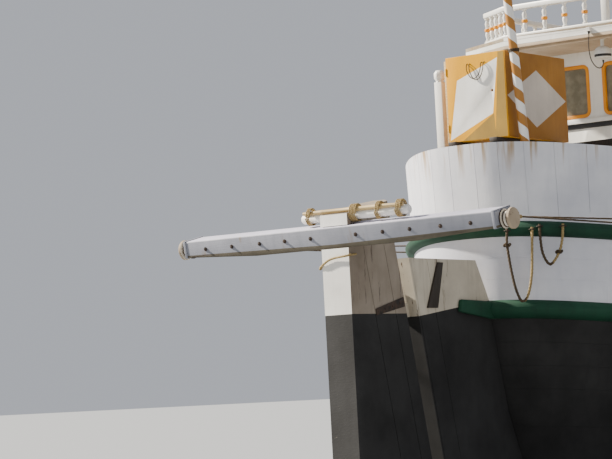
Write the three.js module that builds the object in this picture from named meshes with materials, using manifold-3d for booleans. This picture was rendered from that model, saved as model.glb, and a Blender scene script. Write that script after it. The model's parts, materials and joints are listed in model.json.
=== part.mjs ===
// A wooden cargo dhow, about 26 m long, afloat: double-ended planked hull with a rounded stern,
// green rubbing wales, outboard rudder with a steering yoke, deckhouse, mast and lateen yard.
// Millimetres. +X is forward, +Y is port, +Z is up. The origin is amidships on the waterline.

import * as THREE from 'three';
import * as BufferGeometryUtils from 'three/addons/utils/BufferGeometryUtils.js';
import Module from 'manifold-3d';

const wasm = await Module();
wasm.setup();

const rad = THREE.MathUtils.degToRad;
const seat = 0.3;   // gap left between two pieces that rest on each other

// Finishes

const finishes = {
  hullWhite: { color: '#d9dce4', roughness: 0.55, metalness: 0 },
  hullBlack: { color: '#1d1b1a', roughness: 0.8, metalness: 0 },
  waleGreen: { color: '#0f4a35', roughness: 0.45, metalness: 0 },
  sternTimber: { color: '#8d8780', roughness: 0.8, metalness: 0 },
  yokeGrey: { color: '#9da2b3', roughness: 0.7, metalness: 0 },
  bareTimber: { color: '#a98a62', roughness: 0.8, metalness: 0 },
  deckTimber: { color: '#9b8566', roughness: 0.85, metalness: 0 },
  lockerYellow: { color: '#f0b02c', roughness: 0.5, metalness: 0 },
  houseWhite: { color: '#f2f1ec', roughness: 0.5, metalness: 0 },
  staffStripe: { color: '#c08a5a', roughness: 0.5, metalness: 0 },
  bronze: { color: '#a9853f', roughness: 0.35, metalness: 1 },
  rope: { color: '#a08a5c', roughness: 0.95, metalness: 0 },
  sailCloth: { color: '#d8cdb4', roughness: 0.95, metalness: 0 },
  steelWire: { color: '#7f7f7c', roughness: 0.5, metalness: 0.8 },
  lampEnamel: { color: '#e9e2c4', roughness: 0.3, metalness: 0 },
  cableRubber: { color: '#2a2522', roughness: 0.8, metalness: 0 },
};

const boat = new THREE.Group();

function addNode(name, geometry, finish) {
  const mesh = new THREE.Mesh(geometry, new THREE.MeshStandardMaterial(finishes[finish]));
  mesh.name = name;
  boat.add(mesh);
  return geometry;
}

// Solids from points

function signedVolume(points, faces) {
  let volume = 0;
  for (const [a, b, c] of faces) {
    volume += points[a].dot(new THREE.Vector3().crossVectors(points[b], points[c])) / 6;
  }
  return volume;
}

function solidFromFaces(points, faces) {
  const outward = signedVolume(points, faces) > 0;
  const geometry = new THREE.BufferGeometry();
  const coordinates = points.flatMap((p) => [p.x, p.y, p.z]);
  geometry.setAttribute('position', new THREE.Float32BufferAttribute(coordinates, 3));
  geometry.setIndex(faces.flatMap(([a, b, c]) => (outward ? [a, b, c] : [a, c, b])));
  return geometry;
}

// Joins rings of points, all with the same count, into a closed solid.
// capFaces gives the triangles of one end as index triples within a ring.
function loft(rings, capFaces) {
  const count = rings[0].length;
  const points = rings.flat();
  const faces = [];
  for (let r = 0; r + 1 < rings.length; r += 1) {
    for (let i = 0; i < count; i += 1) {
      const next = (i + 1) % count;
      const a = r * count + i;
      const b = r * count + next;
      faces.push([a, b, b + count], [a, b + count, a + count]);
    }
  }
  const last = (rings.length - 1) * count;
  for (const [a, b, c] of capFaces) {
    faces.push([a, c, b], [last + a, last + b, last + c]);
  }
  return solidFromFaces(points, faces);
}

function fanCap(count) {
  return Array.from({ length: count - 2 }, (_, i) => [0, i + 1, i + 2]);
}

// Ring order runs from the port bow round the stern to the starboard bow, so i faces count - 1 - i.
function deckCap(count) {
  const faces = [];
  for (let i = 0; i + 1 < count / 2; i += 1) {
    const across = count - 1 - i;
    faces.push([i, i + 1, across - 1], [i, across - 1, across]);
  }
  return faces;
}

// Joins and cuts

function toManifold(geometry) {
  const bare = geometry.clone();
  bare.deleteAttribute('normal');
  bare.deleteAttribute('uv');
  const merged = BufferGeometryUtils.mergeVertices(bare, 0.001);
  return new wasm.Manifold(new wasm.Mesh({
    numProp: 3,
    vertProperties: Float32Array.from(merged.attributes.position.array),
    triVerts: Uint32Array.from(merged.index.array),
  }));
}

function fromManifold(manifold) {
  const mesh = manifold.getMesh();
  const geometry = new THREE.BufferGeometry();
  geometry.setAttribute('position', new THREE.BufferAttribute(mesh.vertProperties, 3));
  geometry.setIndex(new THREE.BufferAttribute(mesh.triVerts, 1));
  return geometry;
}

function join(...parts) {
  return fromManifold(parts.map(toManifold).reduce((whole, part) => whole.add(part)));
}

function cut(body, ...tools) {
  return fromManifold(tools.map(toManifold).reduce((rest, tool) => rest.subtract(tool), toManifold(body)));
}

function shifted(geometry, x, y, z) {
  return geometry.clone().translate(x, y, z);
}

// Plain shapes

function box(x0, x1, y0, y1, z0, z1) {
  const geometry = new THREE.BoxGeometry(x1 - x0, y1 - y0, z1 - z0);
  return geometry.translate((x0 + x1) / 2, (y0 + y1) / 2, (z0 + z1) / 2);
}

// A side view, as [x, z] pairs, made solid from -halfWidth to halfWidth across the boat
function sideSlab(outline, halfWidth) {
  const shape = new THREE.Shape(outline.map(([x, z]) => new THREE.Vector2(x, z)));
  const geometry = new THREE.ExtrudeGeometry(shape, { depth: 2 * halfWidth, bevelEnabled: false });
  return geometry.rotateX(Math.PI / 2).translate(0, halfWidth, 0);
}

// A plan view, as [x, y] pairs, made solid between two heights
function planSlab(outline, z0, z1) {
  const shape = new THREE.Shape(outline.map(([x, y]) => new THREE.Vector2(x, y)));
  return new THREE.ExtrudeGeometry(shape, { depth: z1 - z0, bevelEnabled: false }).translate(0, 0, z0);
}

// A wall seen from aft or ahead: [y, z] pairs, made solid between two stations
function crossSlab(outline, x0, x1) {
  const shape = new THREE.Shape(outline.map(([y, z]) => new THREE.Vector2(y, z)));
  const geometry = new THREE.ExtrudeGeometry(shape, { depth: x1 - x0, bevelEnabled: false });
  return geometry.rotateX(Math.PI / 2).rotateZ(Math.PI / 2).translate(x0, 0, 0);
}

// A round bar between two points; the radius may differ at its ends
function bar(from, to, radiusFrom, radiusTo = radiusFrom, sides = 8) {
  const along = new THREE.Vector3().subVectors(to, from);
  const geometry = new THREE.CylinderGeometry(radiusTo, radiusFrom, along.length(), sides);
  const turn = new THREE.Quaternion().setFromUnitVectors(new THREE.Vector3(0, 1, 0), along.clone().normalize());
  const middle = new THREE.Vector3().addVectors(from, to).multiplyScalar(0.5);
  return geometry.applyQuaternion(turn).translate(middle.x, middle.y, middle.z);
}

function vec(x, y, z) {
  return new THREE.Vector3(x, y, z);
}

// Hull form: levels from keel to rim. Each level is one line round the hull, seen in plan.
// Its half-breadth aft is (1 - a^sternPower)^sternRoot of the beam, with a from 0 amidships to 1
// at the stern, and the same forward with bowPower and bowRoot.

const tipHalf = 160;        // half-breadth left at the stern and stem timbers
const sternSheerPower = 1.8;
const bowSheerPower = 2;
const levels = Object.fromEntries([
  // name, zStern, zMid, zBow, xStern, xBow, halfBeam, sternPower, sternRoot, bowPower, bowRoot
  ['keel', -1600, -1600, -1600, -8600, 8200, 260, 2, 1, 2, 1],
  ['garboard', -1180, -1420, -1180, -8950, 8700, 1500, 1.9, 1.5, 1.7, 1.3],
  ['bilge', -500, -750, -450, -9450, 9450, 2620, 1.8, 1.15, 1.8, 1.15],
  ['boottop', 350, 150, 500, -10000, 10350, 3020, 1.75, 0.85, 1.9, 1.05],
  ['topside', 1450, 900, 1350, -10480, 11120, 3130, 1.74, 0.65, 2.05, 1],
  ['lowerWaleFoot', 2360, 1610, 2100, -10700, 11770, 3180, 1.72, 0.54, 2.15, 1],
  ['lowerWaleHead', 2540, 1790, 2280, -10720, 11920, 3190, 1.72, 0.53, 2.15, 1],
  ['upperWaleFoot', 3150, 2400, 2950, -10780, 12480, 3240, 1.72, 0.5, 2.25, 1],
  ['upperWaleHead', 3300, 2550, 3100, -10790, 12600, 3250, 1.72, 0.5, 2.25, 1],
  ['rim', 4070, 3300, 3900, -10840, 13250, 3300, 1.72, 0.5, 2.3, 1],
].map(([name, zStern, zMid, zBow, xStern, xBow, halfBeam, sternPower, sternRoot, bowPower, bowRoot]) =>
  [name, { zStern, zMid, zBow, xStern, xBow, halfBeam, sternPower, sternRoot, bowPower, bowRoot }]));

// t runs along a level from 0 at the stern to 1 at the bow; side is 1 to port, -1 to starboard
function hullPoint(level, t, side) {
  const l = levels[level];
  const aft = Math.max(0, 1 - 2 * t);
  const fore = Math.max(0, 2 * t - 1);
  const fullness = t < 0.5
    ? (1 - aft ** l.sternPower) ** l.sternRoot
    : (1 - fore ** l.bowPower) ** l.bowRoot;
  const sheer = (l.zStern - l.zMid) * aft ** sternSheerPower + (l.zBow - l.zMid) * fore ** bowSheerPower;
  return vec(
    l.xStern + (l.xBow - l.xStern) * t,
    side * (tipHalf + (l.halfBeam - tipHalf) * fullness),
    l.zMid + sheer,
  );
}

// The same point moved out from the hull, square to the level in plan
function hullOffset(level, t, side, out, up = 0) {
  const step = 0.0005;
  const ahead = hullPoint(level, Math.min(1, t + step), side);
  const behind = hullPoint(level, Math.max(0, t - step), side);
  const run = vec(ahead.x - behind.x, ahead.y - behind.y, 0).normalize();
  return hullPoint(level, t, side).add(vec(-side * run.y, side * run.x, 0).multiplyScalar(out))
    .add(vec(0, 0, up));
}

// Point part way up from one level to another
function between(levelA, levelB, share, t, side, out, up = 0) {
  return hullOffset(levelA, t, side, out, up).lerp(hullOffset(levelB, t, side, out, up), share);
}

// Stations are close together round the stern, where the planking turns quickly
const sternStations = 16;
const waistStations = 7;
const bowStations = 5;
const breakOfPoop = 0.40;    // t where the tall stern bulwark steps down to the waist
const breakOfBow = 0.82;     // t where the bulwark steps up again
const stepGap = 0.00008;     // half the gap left in t where bulwarks butt
const stations = [];
for (let i = 0; i <= sternStations; i += 1) {
  stations.push(breakOfPoop * (i / sternStations) ** 2);
}
for (let i = 1; i <= waistStations; i += 1) {
  stations.push(breakOfPoop + (breakOfBow - breakOfPoop) * (i / waistStations));
}
for (let i = 1; i <= bowStations; i += 1) {
  stations.push(breakOfBow + (1 - breakOfBow) * (i / bowStations));
}

function span(tStart, tEnd) {
  return [tStart, ...stations.filter((t) => t > tStart + 0.001 && t < tEnd - 0.001), tEnd];
}

// A path along one side, in ring order: the port side runs aft and the starboard side forward
function sidePath(list, side) {
  return (side > 0 ? list.slice().reverse() : list).map((t) => [t, side]);
}

// A point on the flat facet that joins two neighbouring stations of a level
function facetOffset(level, t, side, out) {
  const ahead = stations.findIndex((station) => station > t);
  const behind = ahead - 1;
  const share = (t - stations[behind]) / (stations[ahead] - stations[behind]);
  const start = hullOffset(level, stations[behind], side, out);
  return start.lerp(hullOffset(level, stations[ahead], side, out), share);
}

// Both sides in ring order: port bow, stern, starboard bow
function ringPath(list) {
  return [...sidePath(list, 1), ...sidePath(list, -1)];
}

function hullRing(level, up = 0, out = 0) {
  return ringPath(stations).map(([t, side]) => hullOffset(level, t, side, out, up));
}

function sweep(path, section) {
  const rings = path.map(([t, side]) => section(t, side));
  return loft(rings, fanCap(rings[0].length));
}

const ringCap = deckCap(2 * stations.length);

addNode('hull_bottom', loft([
  hullRing('keel'), hullRing('garboard'), hullRing('bilge'), hullRing('boottop'), hullRing('topside'),
  hullRing('lowerWaleFoot'),
], ringCap), 'hullBlack');

const topsides = loft([
  hullRing('lowerWaleFoot', seat), hullRing('lowerWaleHead'), hullRing('upperWaleFoot'),
], ringCap);
addNode('hull_topsides', topsides, 'hullWhite');

// Wales: half-round rubbing timbers, [share of height, stand-out]

const waleSection = [[1, seat * 3], [0.85, 50], [0.55, 84], [0.3, 78], [0.08, 45], [0, seat * 3]];

function wale(footLevel, headLevel, path) {
  return sweep(path, (t, side) => waleSection.map(([share, out]) =>
    between(footLevel, headLevel, share, t, side, out)));
}

addNode('upper_wale', wale('upperWaleFoot', 'upperWaleHead', ringPath(stations)), 'waleGreen');
for (const [name, side] of [['lower_wale_port', 1], ['lower_wale_starboard', -1]]) {
  addNode(name, wale('lowerWaleFoot', 'lowerWaleHead', sidePath(stations, side)), 'waleGreen');
}

// Bulwarks stand on the topsides, inside the upper wale

const bulwarkThickness = 90;
const waistShare = 0.42;     // waist rim, as a share of the way from the upper wale to the full rim

function bulwark(path, rimShare) {
  return sweep(path, (t, side) => {
    const rimOut = between('upperWaleHead', 'rim', rimShare, t, side, 0);
    const rimIn = between('upperWaleHead', 'rim', rimShare, t, side, -bulwarkThickness);
    return [
      hullOffset('upperWaleFoot', t, side, -bulwarkThickness, seat),
      hullOffset('upperWaleFoot', t, side, 0, seat),
      hullOffset('upperWaleHead', t, side, 0),
      rimOut,
      vec(rimIn.x, rimIn.y, rimOut.z),
    ];
  });
}

const sternSpan = span(0, breakOfPoop - stepGap);
const waistSpan = span(breakOfPoop + stepGap, breakOfBow - stepGap);
const bowSpan = span(breakOfBow + stepGap, 1);
addNode('stern_bulwark', bulwark(ringPath(sternSpan), 1), 'hullWhite');

const railGap = 0.0014;      // how far in t the waist rail stops short of the taller bulwarks
const railSpan = span(breakOfPoop + railGap, breakOfBow - railGap);
const railWidth = 170;
const railDepth = 55;
const waistRails = {};
for (const [suffix, side] of [['port', 1], ['starboard', -1]]) {
  addNode(`waist_bulwark_${suffix}`, bulwark(sidePath(waistSpan, side), waistShare), 'hullWhite');
  addNode(`bow_bulwark_${suffix}`, bulwark(sidePath(bowSpan, side), 1), 'hullWhite');
  const overhang = (railWidth - bulwarkThickness) / 2;
  waistRails[suffix] = sweep(sidePath(railSpan, side), (t) => {
    const foot = between('upperWaleHead', 'rim', waistShare, t, side, overhang, 3 * seat);
    const inner = between('upperWaleHead', 'rim', waistShare, t, side, overhang - railWidth, 3 * seat);
    return [
      foot,
      foot.clone().add(vec(0, 0, railDepth)),
      vec(inner.x, inner.y, foot.z + railDepth),
      vec(inner.x, inner.y, foot.z),
    ];
  });
  addNode(`waist_rail_${suffix}`, waistRails[suffix], 'hullWhite');
}

// Deck: planking laid on the topsides, inside the bulwarks

const plankThickness = 60;
const deckInset = bulwarkThickness + 1;
const deckRing = (up) => hullRing('upperWaleFoot', up, -deckInset);
const deck = cut(loft([deckRing(-25), deckRing(plankThickness)], ringCap), shifted(topsides, 0, 0, seat));
addNode('main_deck', deck, 'deckTimber');
const deckBlock = loft([deckRing(-600), deckRing(plankThickness + seat)], ringCap);

// Cuts the foot of a piece to sit on the sheered deck
function standOnDeck(geometry) {
  return cut(geometry, deckBlock);
}

// Backbone: keel, stem and stern timbers

const keelBottom = -1920;
const keelTop = levels.keel.zStern - seat;
const keelHalf = 150;
const keelHeel = -11250;
addNode('keel', box(keelHeel, levels.keel.xBow, -keelHalf, keelHalf, keelBottom, keelTop), 'hullBlack');

const stemHalf = 140;
const stemDepth = 430;       // fore and aft thickness of the stem, measured level
const stemHeadZ = 4850;
const bowTips = Object.values(levels).map((l) => [l.xBow + 2 * seat, l.zBow]);
const stemRake = (bowTips.at(-1)[0] - bowTips.at(-2)[0]) / (bowTips.at(-1)[1] - bowTips.at(-2)[1]);
const stemHeadX = bowTips.at(-1)[0] + stemRake * (stemHeadZ - bowTips.at(-1)[1]);
const stemOutline = [
  [levels.keel.xBow + seat, keelBottom],
  ...bowTips,
  [stemHeadX, stemHeadZ],
  [stemHeadX + stemDepth * 0.8, stemHeadZ],
  ...bowTips.slice(1).reverse().map(([x, z]) => [x + stemDepth, z]),
  [levels.keel.xBow + stemDepth, keelBottom + 60],
];
addNode('stem', sideSlab(stemOutline, stemHalf), 'hullBlack');

// Stern frame: everything on the rudder's axis is drawn in a frame that leans aft with it

const rudderRake = rad(12);
const rudderAxisFoot = vec(-12110, 0, 2930);   // a point on the axis, at the head of the sternpost
const raked = new THREE.Matrix4().makeRotationY(-rudderRake).setPosition(rudderAxisFoot);
const onRake = (geometry) => geometry.clone().applyMatrix4(raked);
const postFace = 45;          // sternpost's after face, ahead of the axis
const rakeToBoat = (x, z) => {
  const point = vec(x, 0, z).applyMatrix4(raked);
  return [point.x, point.z];
};

const postHalf = tipHalf - 2 * seat;
const sternTips = Object.values(levels).filter((l) => l.zStern < 2900)
  .map((l) => [l.xStern - 2 * seat, l.zStern]);
const panelHeadX = -10930;
const panelHeadZ = 2930;
const screwZ = -620;
const apertureFore = -10050;
const apertureAft = -10800;
const aperture = [
  [apertureAft, -1330], [apertureFore, -1330], [apertureFore, 60], [apertureFore - 160, 200],
  [apertureAft - 60, 200], [apertureAft - 60, 0],
];
const panelOutline = [
  [sternTips[0][0], levels.keel.zStern],
  ...sternTips.slice(1),
  [panelHeadX, panelHeadZ],
  rakeToBoat(postFace, 0),
  rakeToBoat(postFace, (levels.keel.zStern - panelHeadZ) / Math.cos(rudderRake) - postFace * Math.tan(rudderRake)),
];

// Rudder irons: pins on the rudder drop into lugs on the sternpost
const pinRadius = 30;
const pinHole = 33;
const collarRadius = 38;
const lugRadius = 60;
const lugDepth = 150;
const ironHeights = [-420, -2350, -4250];     // top of each lug, measured along the axis from its foot
const lugs = ironHeights.map((h) => join(
  bar(vec(0, 0, h - lugDepth), vec(0, 0, h), lugRadius, lugRadius, 16),
  box(0, postFace + 60, -lugRadius, lugRadius, h - lugDepth, h),
));
const lugBores = ironHeights.map((h) => bar(
  vec(0, 0, h - lugDepth - 20), vec(0, 0, h + 20), pinHole, pinHole, 16,
));
const sternTubeLength = 230;
const sternTubeRadius = 120;
const shaftRadius = 42;
const shaftHole = 50;
const sternTubeEnd = apertureFore - sternTubeLength;
const sternTube = bar(vec(sternTubeEnd, 0, screwZ), vec(apertureFore + 60, 0, screwZ), sternTubeRadius * 0.8,
  sternTubeRadius, 16);
const shaftBore = bar(
  vec(sternTubeEnd - 10, 0, screwZ), vec(apertureFore, 0, screwZ), shaftHole, shaftHole, 16,
);
addNode('sternpost', cut(
  join(
    cut(sideSlab(panelOutline, postHalf), sideSlab(aperture, postHalf + 50)),
    ...lugs.map(onRake), sternTube,
  ),
  ...lugBores.map(onRake),
  shaftBore,
), 'sternTimber');

// Rudder: planked blade whose leading edge is bearded to let it turn

const bladeFront = -40;
const bladeShoulder = -150;
const bladeHalf = 167;
const frontHalf = 60;
const trailHalf = 150;
const headTop = 575;
const bladeFoot = -4600;
const trailSlope = 0.21;     // makes the trailing edge stand upright on the raked axis
const trailAt = (z) => -871 - (185 - z) * trailSlope;
const bladeRing = (z, trail) => [
  [bladeFront, frontHalf], [bladeShoulder, bladeHalf], [trail, trailHalf],
  [trail, -trailHalf], [bladeShoulder, -bladeHalf], [bladeFront, -frontHalf],
].map(([x, y]) => vec(x, y, z));
const bladeRings = [
  bladeRing(bladeFoot, trailAt(bladeFoot) + 300),
  bladeRing(bladeFoot + 220, trailAt(bladeFoot + 220)),
  bladeRing(headTop, trailAt(headTop)),
];
const yokeDepth = 270;
const yokeAft = -853;
const yokeFore = yokeAft + yokeDepth;
const yokeFoot = 273;
const yokeHead = 474;
const poleRadius = 45;
const poleSides = 12;
const poleHeight = headTop - 30;
const poleCentre = [trailAt(poleHeight) + 80, 0, poleHeight];
const pins = ironHeights.map((h) => join(
  bar(vec(0, 0, h - lugDepth - 15), vec(0, 0, h + 60), pinRadius, pinRadius, 12),
  bar(vec(0, 0, h + seat), vec(0, 0, h + 110), collarRadius, collarRadius, 16),
  box(bladeFront - 60, 0, -collarRadius * 0.7, collarRadius * 0.7, h + seat, h + 110),
));
const lugPockets = ironHeights.map((h) => box(bladeFront - 45, 0, -200, 200, h - lugDepth - 15, h + seat));
const yokeSlot = box(-2000, yokeFore + seat, -400, 400, yokeFoot - seat, yokeHead + seat);
const poleSlot = bar(vec(poleCentre[0], 400, poleCentre[2]), vec(poleCentre[0], -400, poleCentre[2]),
  poleRadius + 2 * seat, poleRadius + 2 * seat, poleSides);
addNode('rudder_blade', onRake(join(
  cut(loft(bladeRings, fanCap(6)), ...lugPockets, yokeSlot, poleSlot),
  ...pins,
)), 'sternTimber');

// Yoke: a beam across the rudder head, with a round rope drum on each end

const yokeHalf = 1745;
const yokeMidX = (yokeAft + yokeFore) / 2;
const yokeTaperStart = 900;   // distance from the middle at which the beam's foot starts to rise
const yokeEndFoot = 316;
const yokeEndHead = 468;
const yokeOutline = [
  [-yokeHalf, yokeEndFoot], [-yokeTaperStart, yokeFoot], [yokeTaperStart, yokeFoot], [yokeHalf, yokeEndFoot],
  [yokeHalf, yokeEndHead], [yokeTaperStart, yokeHead], [-yokeTaperStart, yokeHead], [-yokeHalf, yokeEndHead],
];
addNode('rudder_yoke', onRake(crossSlab(yokeOutline, yokeAft, yokeFore)), 'yokeGrey');

// Drum profile: [distance out along the yoke, radius]
const drumProfile = [[0, 0], [0, 88], [14, 88], [20, 70], [76, 70], [81, 95], [102, 95], [110, 88], [110, 0]];
const drumHeight = 375;
for (const [suffix, side] of [['port', 1], ['starboard', -1]]) {
  const profile = drumProfile.map(([out, radius]) => new THREE.Vector2(radius, out));
  const drum = new THREE.LatheGeometry(profile, 16).rotateZ(side > 0 ? 0 : Math.PI);
  addNode(`yoke_drum_${suffix}`, onRake(
    toClosed(drum).translate(yokeMidX, side * (yokeHalf + seat), drumHeight),
  ), 'yokeGrey');
}

// Welds a lathe's seam and poles so that it is one closed skin
function toClosed(geometry) {
  return fromManifold(toManifold(geometry));
}

const poleStart = 400;
const poleEnd = -780;
addNode('rudder_head_pole', onRake(bar(
  vec(poleCentre[0], poleStart, poleCentre[2]), vec(poleCentre[0], poleEnd, poleCentre[2]),
  poleRadius, poleRadius, poleSides,
)), 'houseWhite');

// Propeller: hub, shaft stub and four twisted blades

const screwRadius = 560;
const hubLength = 210;
const hubFront = sternTubeEnd - seat;
const screwX = hubFront - hubLength / 2;
const bladeCount = 4;
// radius, chord, pitch angle from the disc, thickness
const screwSections = [[60, 170, 55, 34], [250, 280, 38, 22], [440, 300, 27, 14], [screwRadius, 120, 22, 8]];

function screwBlade(turn) {
  const rings = screwSections.map(([radius, chord, pitch, thickness]) => {
    const lean = rad(pitch);
    return [[-1, 0], [0, 1], [1, 0], [0, -1]].map(([u, v]) => {
      const along = u * chord / 2;
      const across = v * thickness / 2;
      const x = along * Math.sin(lean) + across * Math.cos(lean);
      const y = along * Math.cos(lean) - across * Math.sin(lean);
      return vec(x, y, radius);
    });
  });
  return loft(rings, fanCap(4)).rotateX(turn).translate(screwX, 0, screwZ);
}

addNode('propeller', join(
  bar(vec(hubFront - hubLength, 0, screwZ), vec(hubFront, 0, screwZ), 75, 95, 16),
  bar(vec(hubFront - 20, 0, screwZ), vec(hubFront + 180, 0, screwZ), shaftRadius, shaftRadius, 12),
  bar(vec(hubFront - hubLength - 110, 0, screwZ), vec(hubFront - hubLength + 20, 0, screwZ), 25, 70, 16),
  ...Array.from({ length: bladeCount }, (_, i) => screwBlade(i * 2 * Math.PI / bladeCount + rad(45))),
), 'bronze');

// Stern locker: a box on two bearers that rest on the stern rim and on a thwart inside it

const lockerAft = -10690;
const lockerFore = -9540;
const lockerStarboard = -460;
const lockerPort = 220;
const lockerHeight = 850;
const lockerWall = 25;
const rimZ = levels.rim.zStern;
const bearerHeight = 45;
const lockerFoot = rimZ + bearerHeight + 2 * seat;
const lockerHead = lockerFoot + lockerHeight;
const doorThickness = 25;
const doorClear = 5;
const carcass = cut(
  box(lockerAft + doorThickness + seat, lockerFore, lockerStarboard, lockerPort, lockerFoot, lockerHead),
  box(lockerAft - 10, lockerFore - lockerWall, lockerStarboard + lockerWall, lockerPort - lockerWall,
    lockerFoot + lockerWall, lockerHead - lockerWall),
);
addNode('stern_locker', carcass, 'lockerYellow');
addNode('locker_door', cut(
  box(lockerAft, lockerAft + doorThickness, lockerStarboard, lockerPort - doorClear, lockerFoot + doorClear,
    lockerHead - doorClear),
  bar(vec(lockerAft - 5, -310, lockerFoot + 470), vec(lockerAft + 40, -310, lockerFoot + 470), 14, 14, 10),
), 'lockerYellow');

const bearerWidth = 90;
const bearerAft = -10800;
const thwartX = -9750;
const thwartWidth = 200;
const thwartDepth = 60;
const sternBearers = [['port', 120], ['starboard', -360]];
for (const [suffix, y] of sternBearers) {
  addNode(`locker_bearer_${suffix}`, box(bearerAft, lockerFore + 40, y - bearerWidth / 2, y + bearerWidth / 2,
    rimZ + seat, rimZ + seat + bearerHeight), 'bareTimber');
}
const hullInside = loft([
  hullRing('upperWaleHead', -500, -bulwarkThickness - seat), hullRing('rim', 300, -bulwarkThickness - seat),
], ringCap);
const thwartLegHalf = 60;
const thwart = join(
  box(thwartX - thwartWidth / 2, thwartX + thwartWidth / 2, -1500, 1500, rimZ - thwartDepth, rimZ),
  box(thwartX - thwartLegHalf, thwartX + thwartLegHalf, -thwartLegHalf, thwartLegHalf, 3000, rimZ - 20),
);
addNode('locker_thwart', standOnDeck(
  fromManifold(toManifold(thwart).intersect(toManifold(hullInside))),
), 'bareTimber');

// Mooring post with an eight-sided head, beside the locker, and the ensign staff

const postX = -10500;
const postY = 420;
const postWidth = 85;
const postHeadZ = 4880;
const postShaft = box(
  postX - postWidth / 2, postX + postWidth / 2, postY - postWidth / 2, postY + postWidth / 2,
  3100, postHeadZ - 120,
);
const postHead = new THREE.LatheGeometry(
  [[0, -140], [40, -130], [40, -105], [58, -80], [58, -30], [36, 0], [0, 0]]
    .map(([r, z]) => new THREE.Vector2(r, z)),
  8,
).rotateX(Math.PI / 2).translate(postX, postY, postHeadZ);
addNode('stern_post', standOnDeck(join(postShaft, toClosed(postHead))), 'houseWhite');

const staffRake = rad(7);
const staffLength = 4400;
const staffFoot = vec(-10426, -560, 3080);
const staffLine = vec(-Math.sin(staffRake), 0, Math.cos(staffRake)).multiplyScalar(staffLength);
const staffHead = staffFoot.clone().add(staffLine);
addNode('ensign_staff', standOnDeck(bar(staffFoot, staffHead, 47, 40, 12)), 'staffStripe');

// Deckhouse: four walls with windows, standing on the deck under the upper deck

const houseAft = -5800;
const houseFore = -1800;
const houseHalf = 2150;
const wallThickness = 60;
const wallFoot = 2300;
const upperDeckFoot = 5580;
const upperDeckHead = 5710;
const wallHead = upperDeckFoot - seat;
const windowFoot = 4800;
const windowHead = 5430;
const windowWidth = 500;
const pillarWidth = 170;
const windowPitch = windowWidth + pillarWidth;

// Centres of a row of windows
function windowRow(count, middle) {
  return Array.from({ length: count }, (_, i) => middle + (i - (count - 1) / 2) * windowPitch);
}

const windowHalf = windowWidth / 2;
const endWalls = [['deckhouse_aft_wall', houseAft], ['deckhouse_front_wall', houseFore - wallThickness]];
for (const [name, x] of endWalls) {
  addNode(name, standOnDeck(cut(
    box(x, x + wallThickness, -houseHalf, houseHalf, wallFoot, wallHead),
    ...windowRow(6, 0).map((y) => box(x - 10, x + wallThickness + 10, y - windowHalf, y + windowHalf,
      windowFoot, windowHead)),
  )), 'houseWhite');
}

const doorAft = -5300;
const doorFore = -4600;
const doorFoot = 2950;
const doorHead = 4700;
const doorway = box(doorAft, doorFore, -houseHalf - 10, -houseHalf + wallThickness + 10, doorFoot, doorHead);
for (const [name, y, openings] of [
  ['deckhouse_port_wall', houseHalf - wallThickness, []],
  ['deckhouse_starboard_wall', -houseHalf, [doorway]],
]) {
  addNode(name, standOnDeck(cut(
    box(houseAft + wallThickness + seat, houseFore - wallThickness - seat, y, y + wallThickness,
      wallFoot, wallHead),
    ...windowRow(5, (houseAft + houseFore) / 2).map((x) => box(x - windowHalf, x + windowHalf,
      y - 10, y + wallThickness + 10, windowFoot, windowHead)),
    ...openings,
  )), 'houseWhite');
}
// The door's leaf is flush with the inside of the wall and opens inward from its fore jamb
const doorLeaf = 45;
addNode('deckhouse_door', box(doorAft + doorClear, doorFore - seat, -houseHalf + wallThickness - doorLeaf,
  -houseHalf + wallThickness, doorFoot + doorClear, doorHead - doorClear), 'houseWhite');

// Engine casing inside, which is also the helm's platform, with the wheel's pedestal on it

const casingTop = 3750;
const pedestalX = -2450;
const wheelZ = 4680;
addNode('helm_platform', standOnDeck(
  box(-4200, houseFore - wallThickness - 40, -1500, 1500, wallFoot, casingTop),
), 'deckTimber');
addNode('wheel_pedestal', join(
  box(pedestalX - 110, pedestalX + 110, -150, 150, casingTop + seat, wheelZ + 110),
  box(pedestalX - 170, pedestalX + 170, -220, 220, casingTop + seat, casingTop + 60),
), 'bareTimber');

const wheelRadius = 400;
const wheelRim = 26;
const spokeCount = 8;
const wheelX = pedestalX - 110 - seat - 70;
const wheelCentre = vec(wheelX, 0, wheelZ);
const spokes = Array.from({ length: spokeCount }, (_, i) => {
  const angle = i * 2 * Math.PI / spokeCount;
  const reach = wheelRadius + 130;
  const tip = vec(wheelX, Math.cos(angle) * reach, wheelZ + Math.sin(angle) * reach);
  return bar(wheelCentre, tip, 17, 15, 5);
});
const rimRing = new THREE.TorusGeometry(wheelRadius, wheelRim, 6, 20).rotateY(Math.PI / 2)
  .translate(wheelX, 0, wheelZ);
addNode('steering_wheel', join(
  rimRing,
  bar(vec(wheelX - 60, 0, wheelZ), vec(pedestalX - 110 - seat, 0, wheelZ), 75, 75, 12),
  ...spokes,
), 'bareTimber');

// A round tube along a smooth curve through the points
function roundTube(points, radius, steps) {
  const curve = new THREE.CatmullRomCurve3(points, false, 'centripetal');
  const sides = 8;
  const circle = new THREE.Shape(Array.from({ length: sides }, (_, i) => {
    const angle = i * 2 * Math.PI / sides;
    return new THREE.Vector2(Math.cos(angle) * radius, Math.sin(angle) * radius);
  }));
  return new THREE.ExtrudeGeometry(circle, { steps, extrudePath: curve, bevelEnabled: false });
}

// Upper deck over the house, with cut-off after corners, and its balustrade

const upperAft = -6850;
const upperCornerHalf = 1920;
const upperSideAft = -6460;
const upperHalf = 2700;
const upperFore = -1100;
const upperOutline = [
  [upperAft, -upperCornerHalf], [upperSideAft, -upperHalf], [upperFore, -upperHalf],
  [upperFore, upperHalf], [upperSideAft, upperHalf], [upperAft, upperCornerHalf],
];

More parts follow.
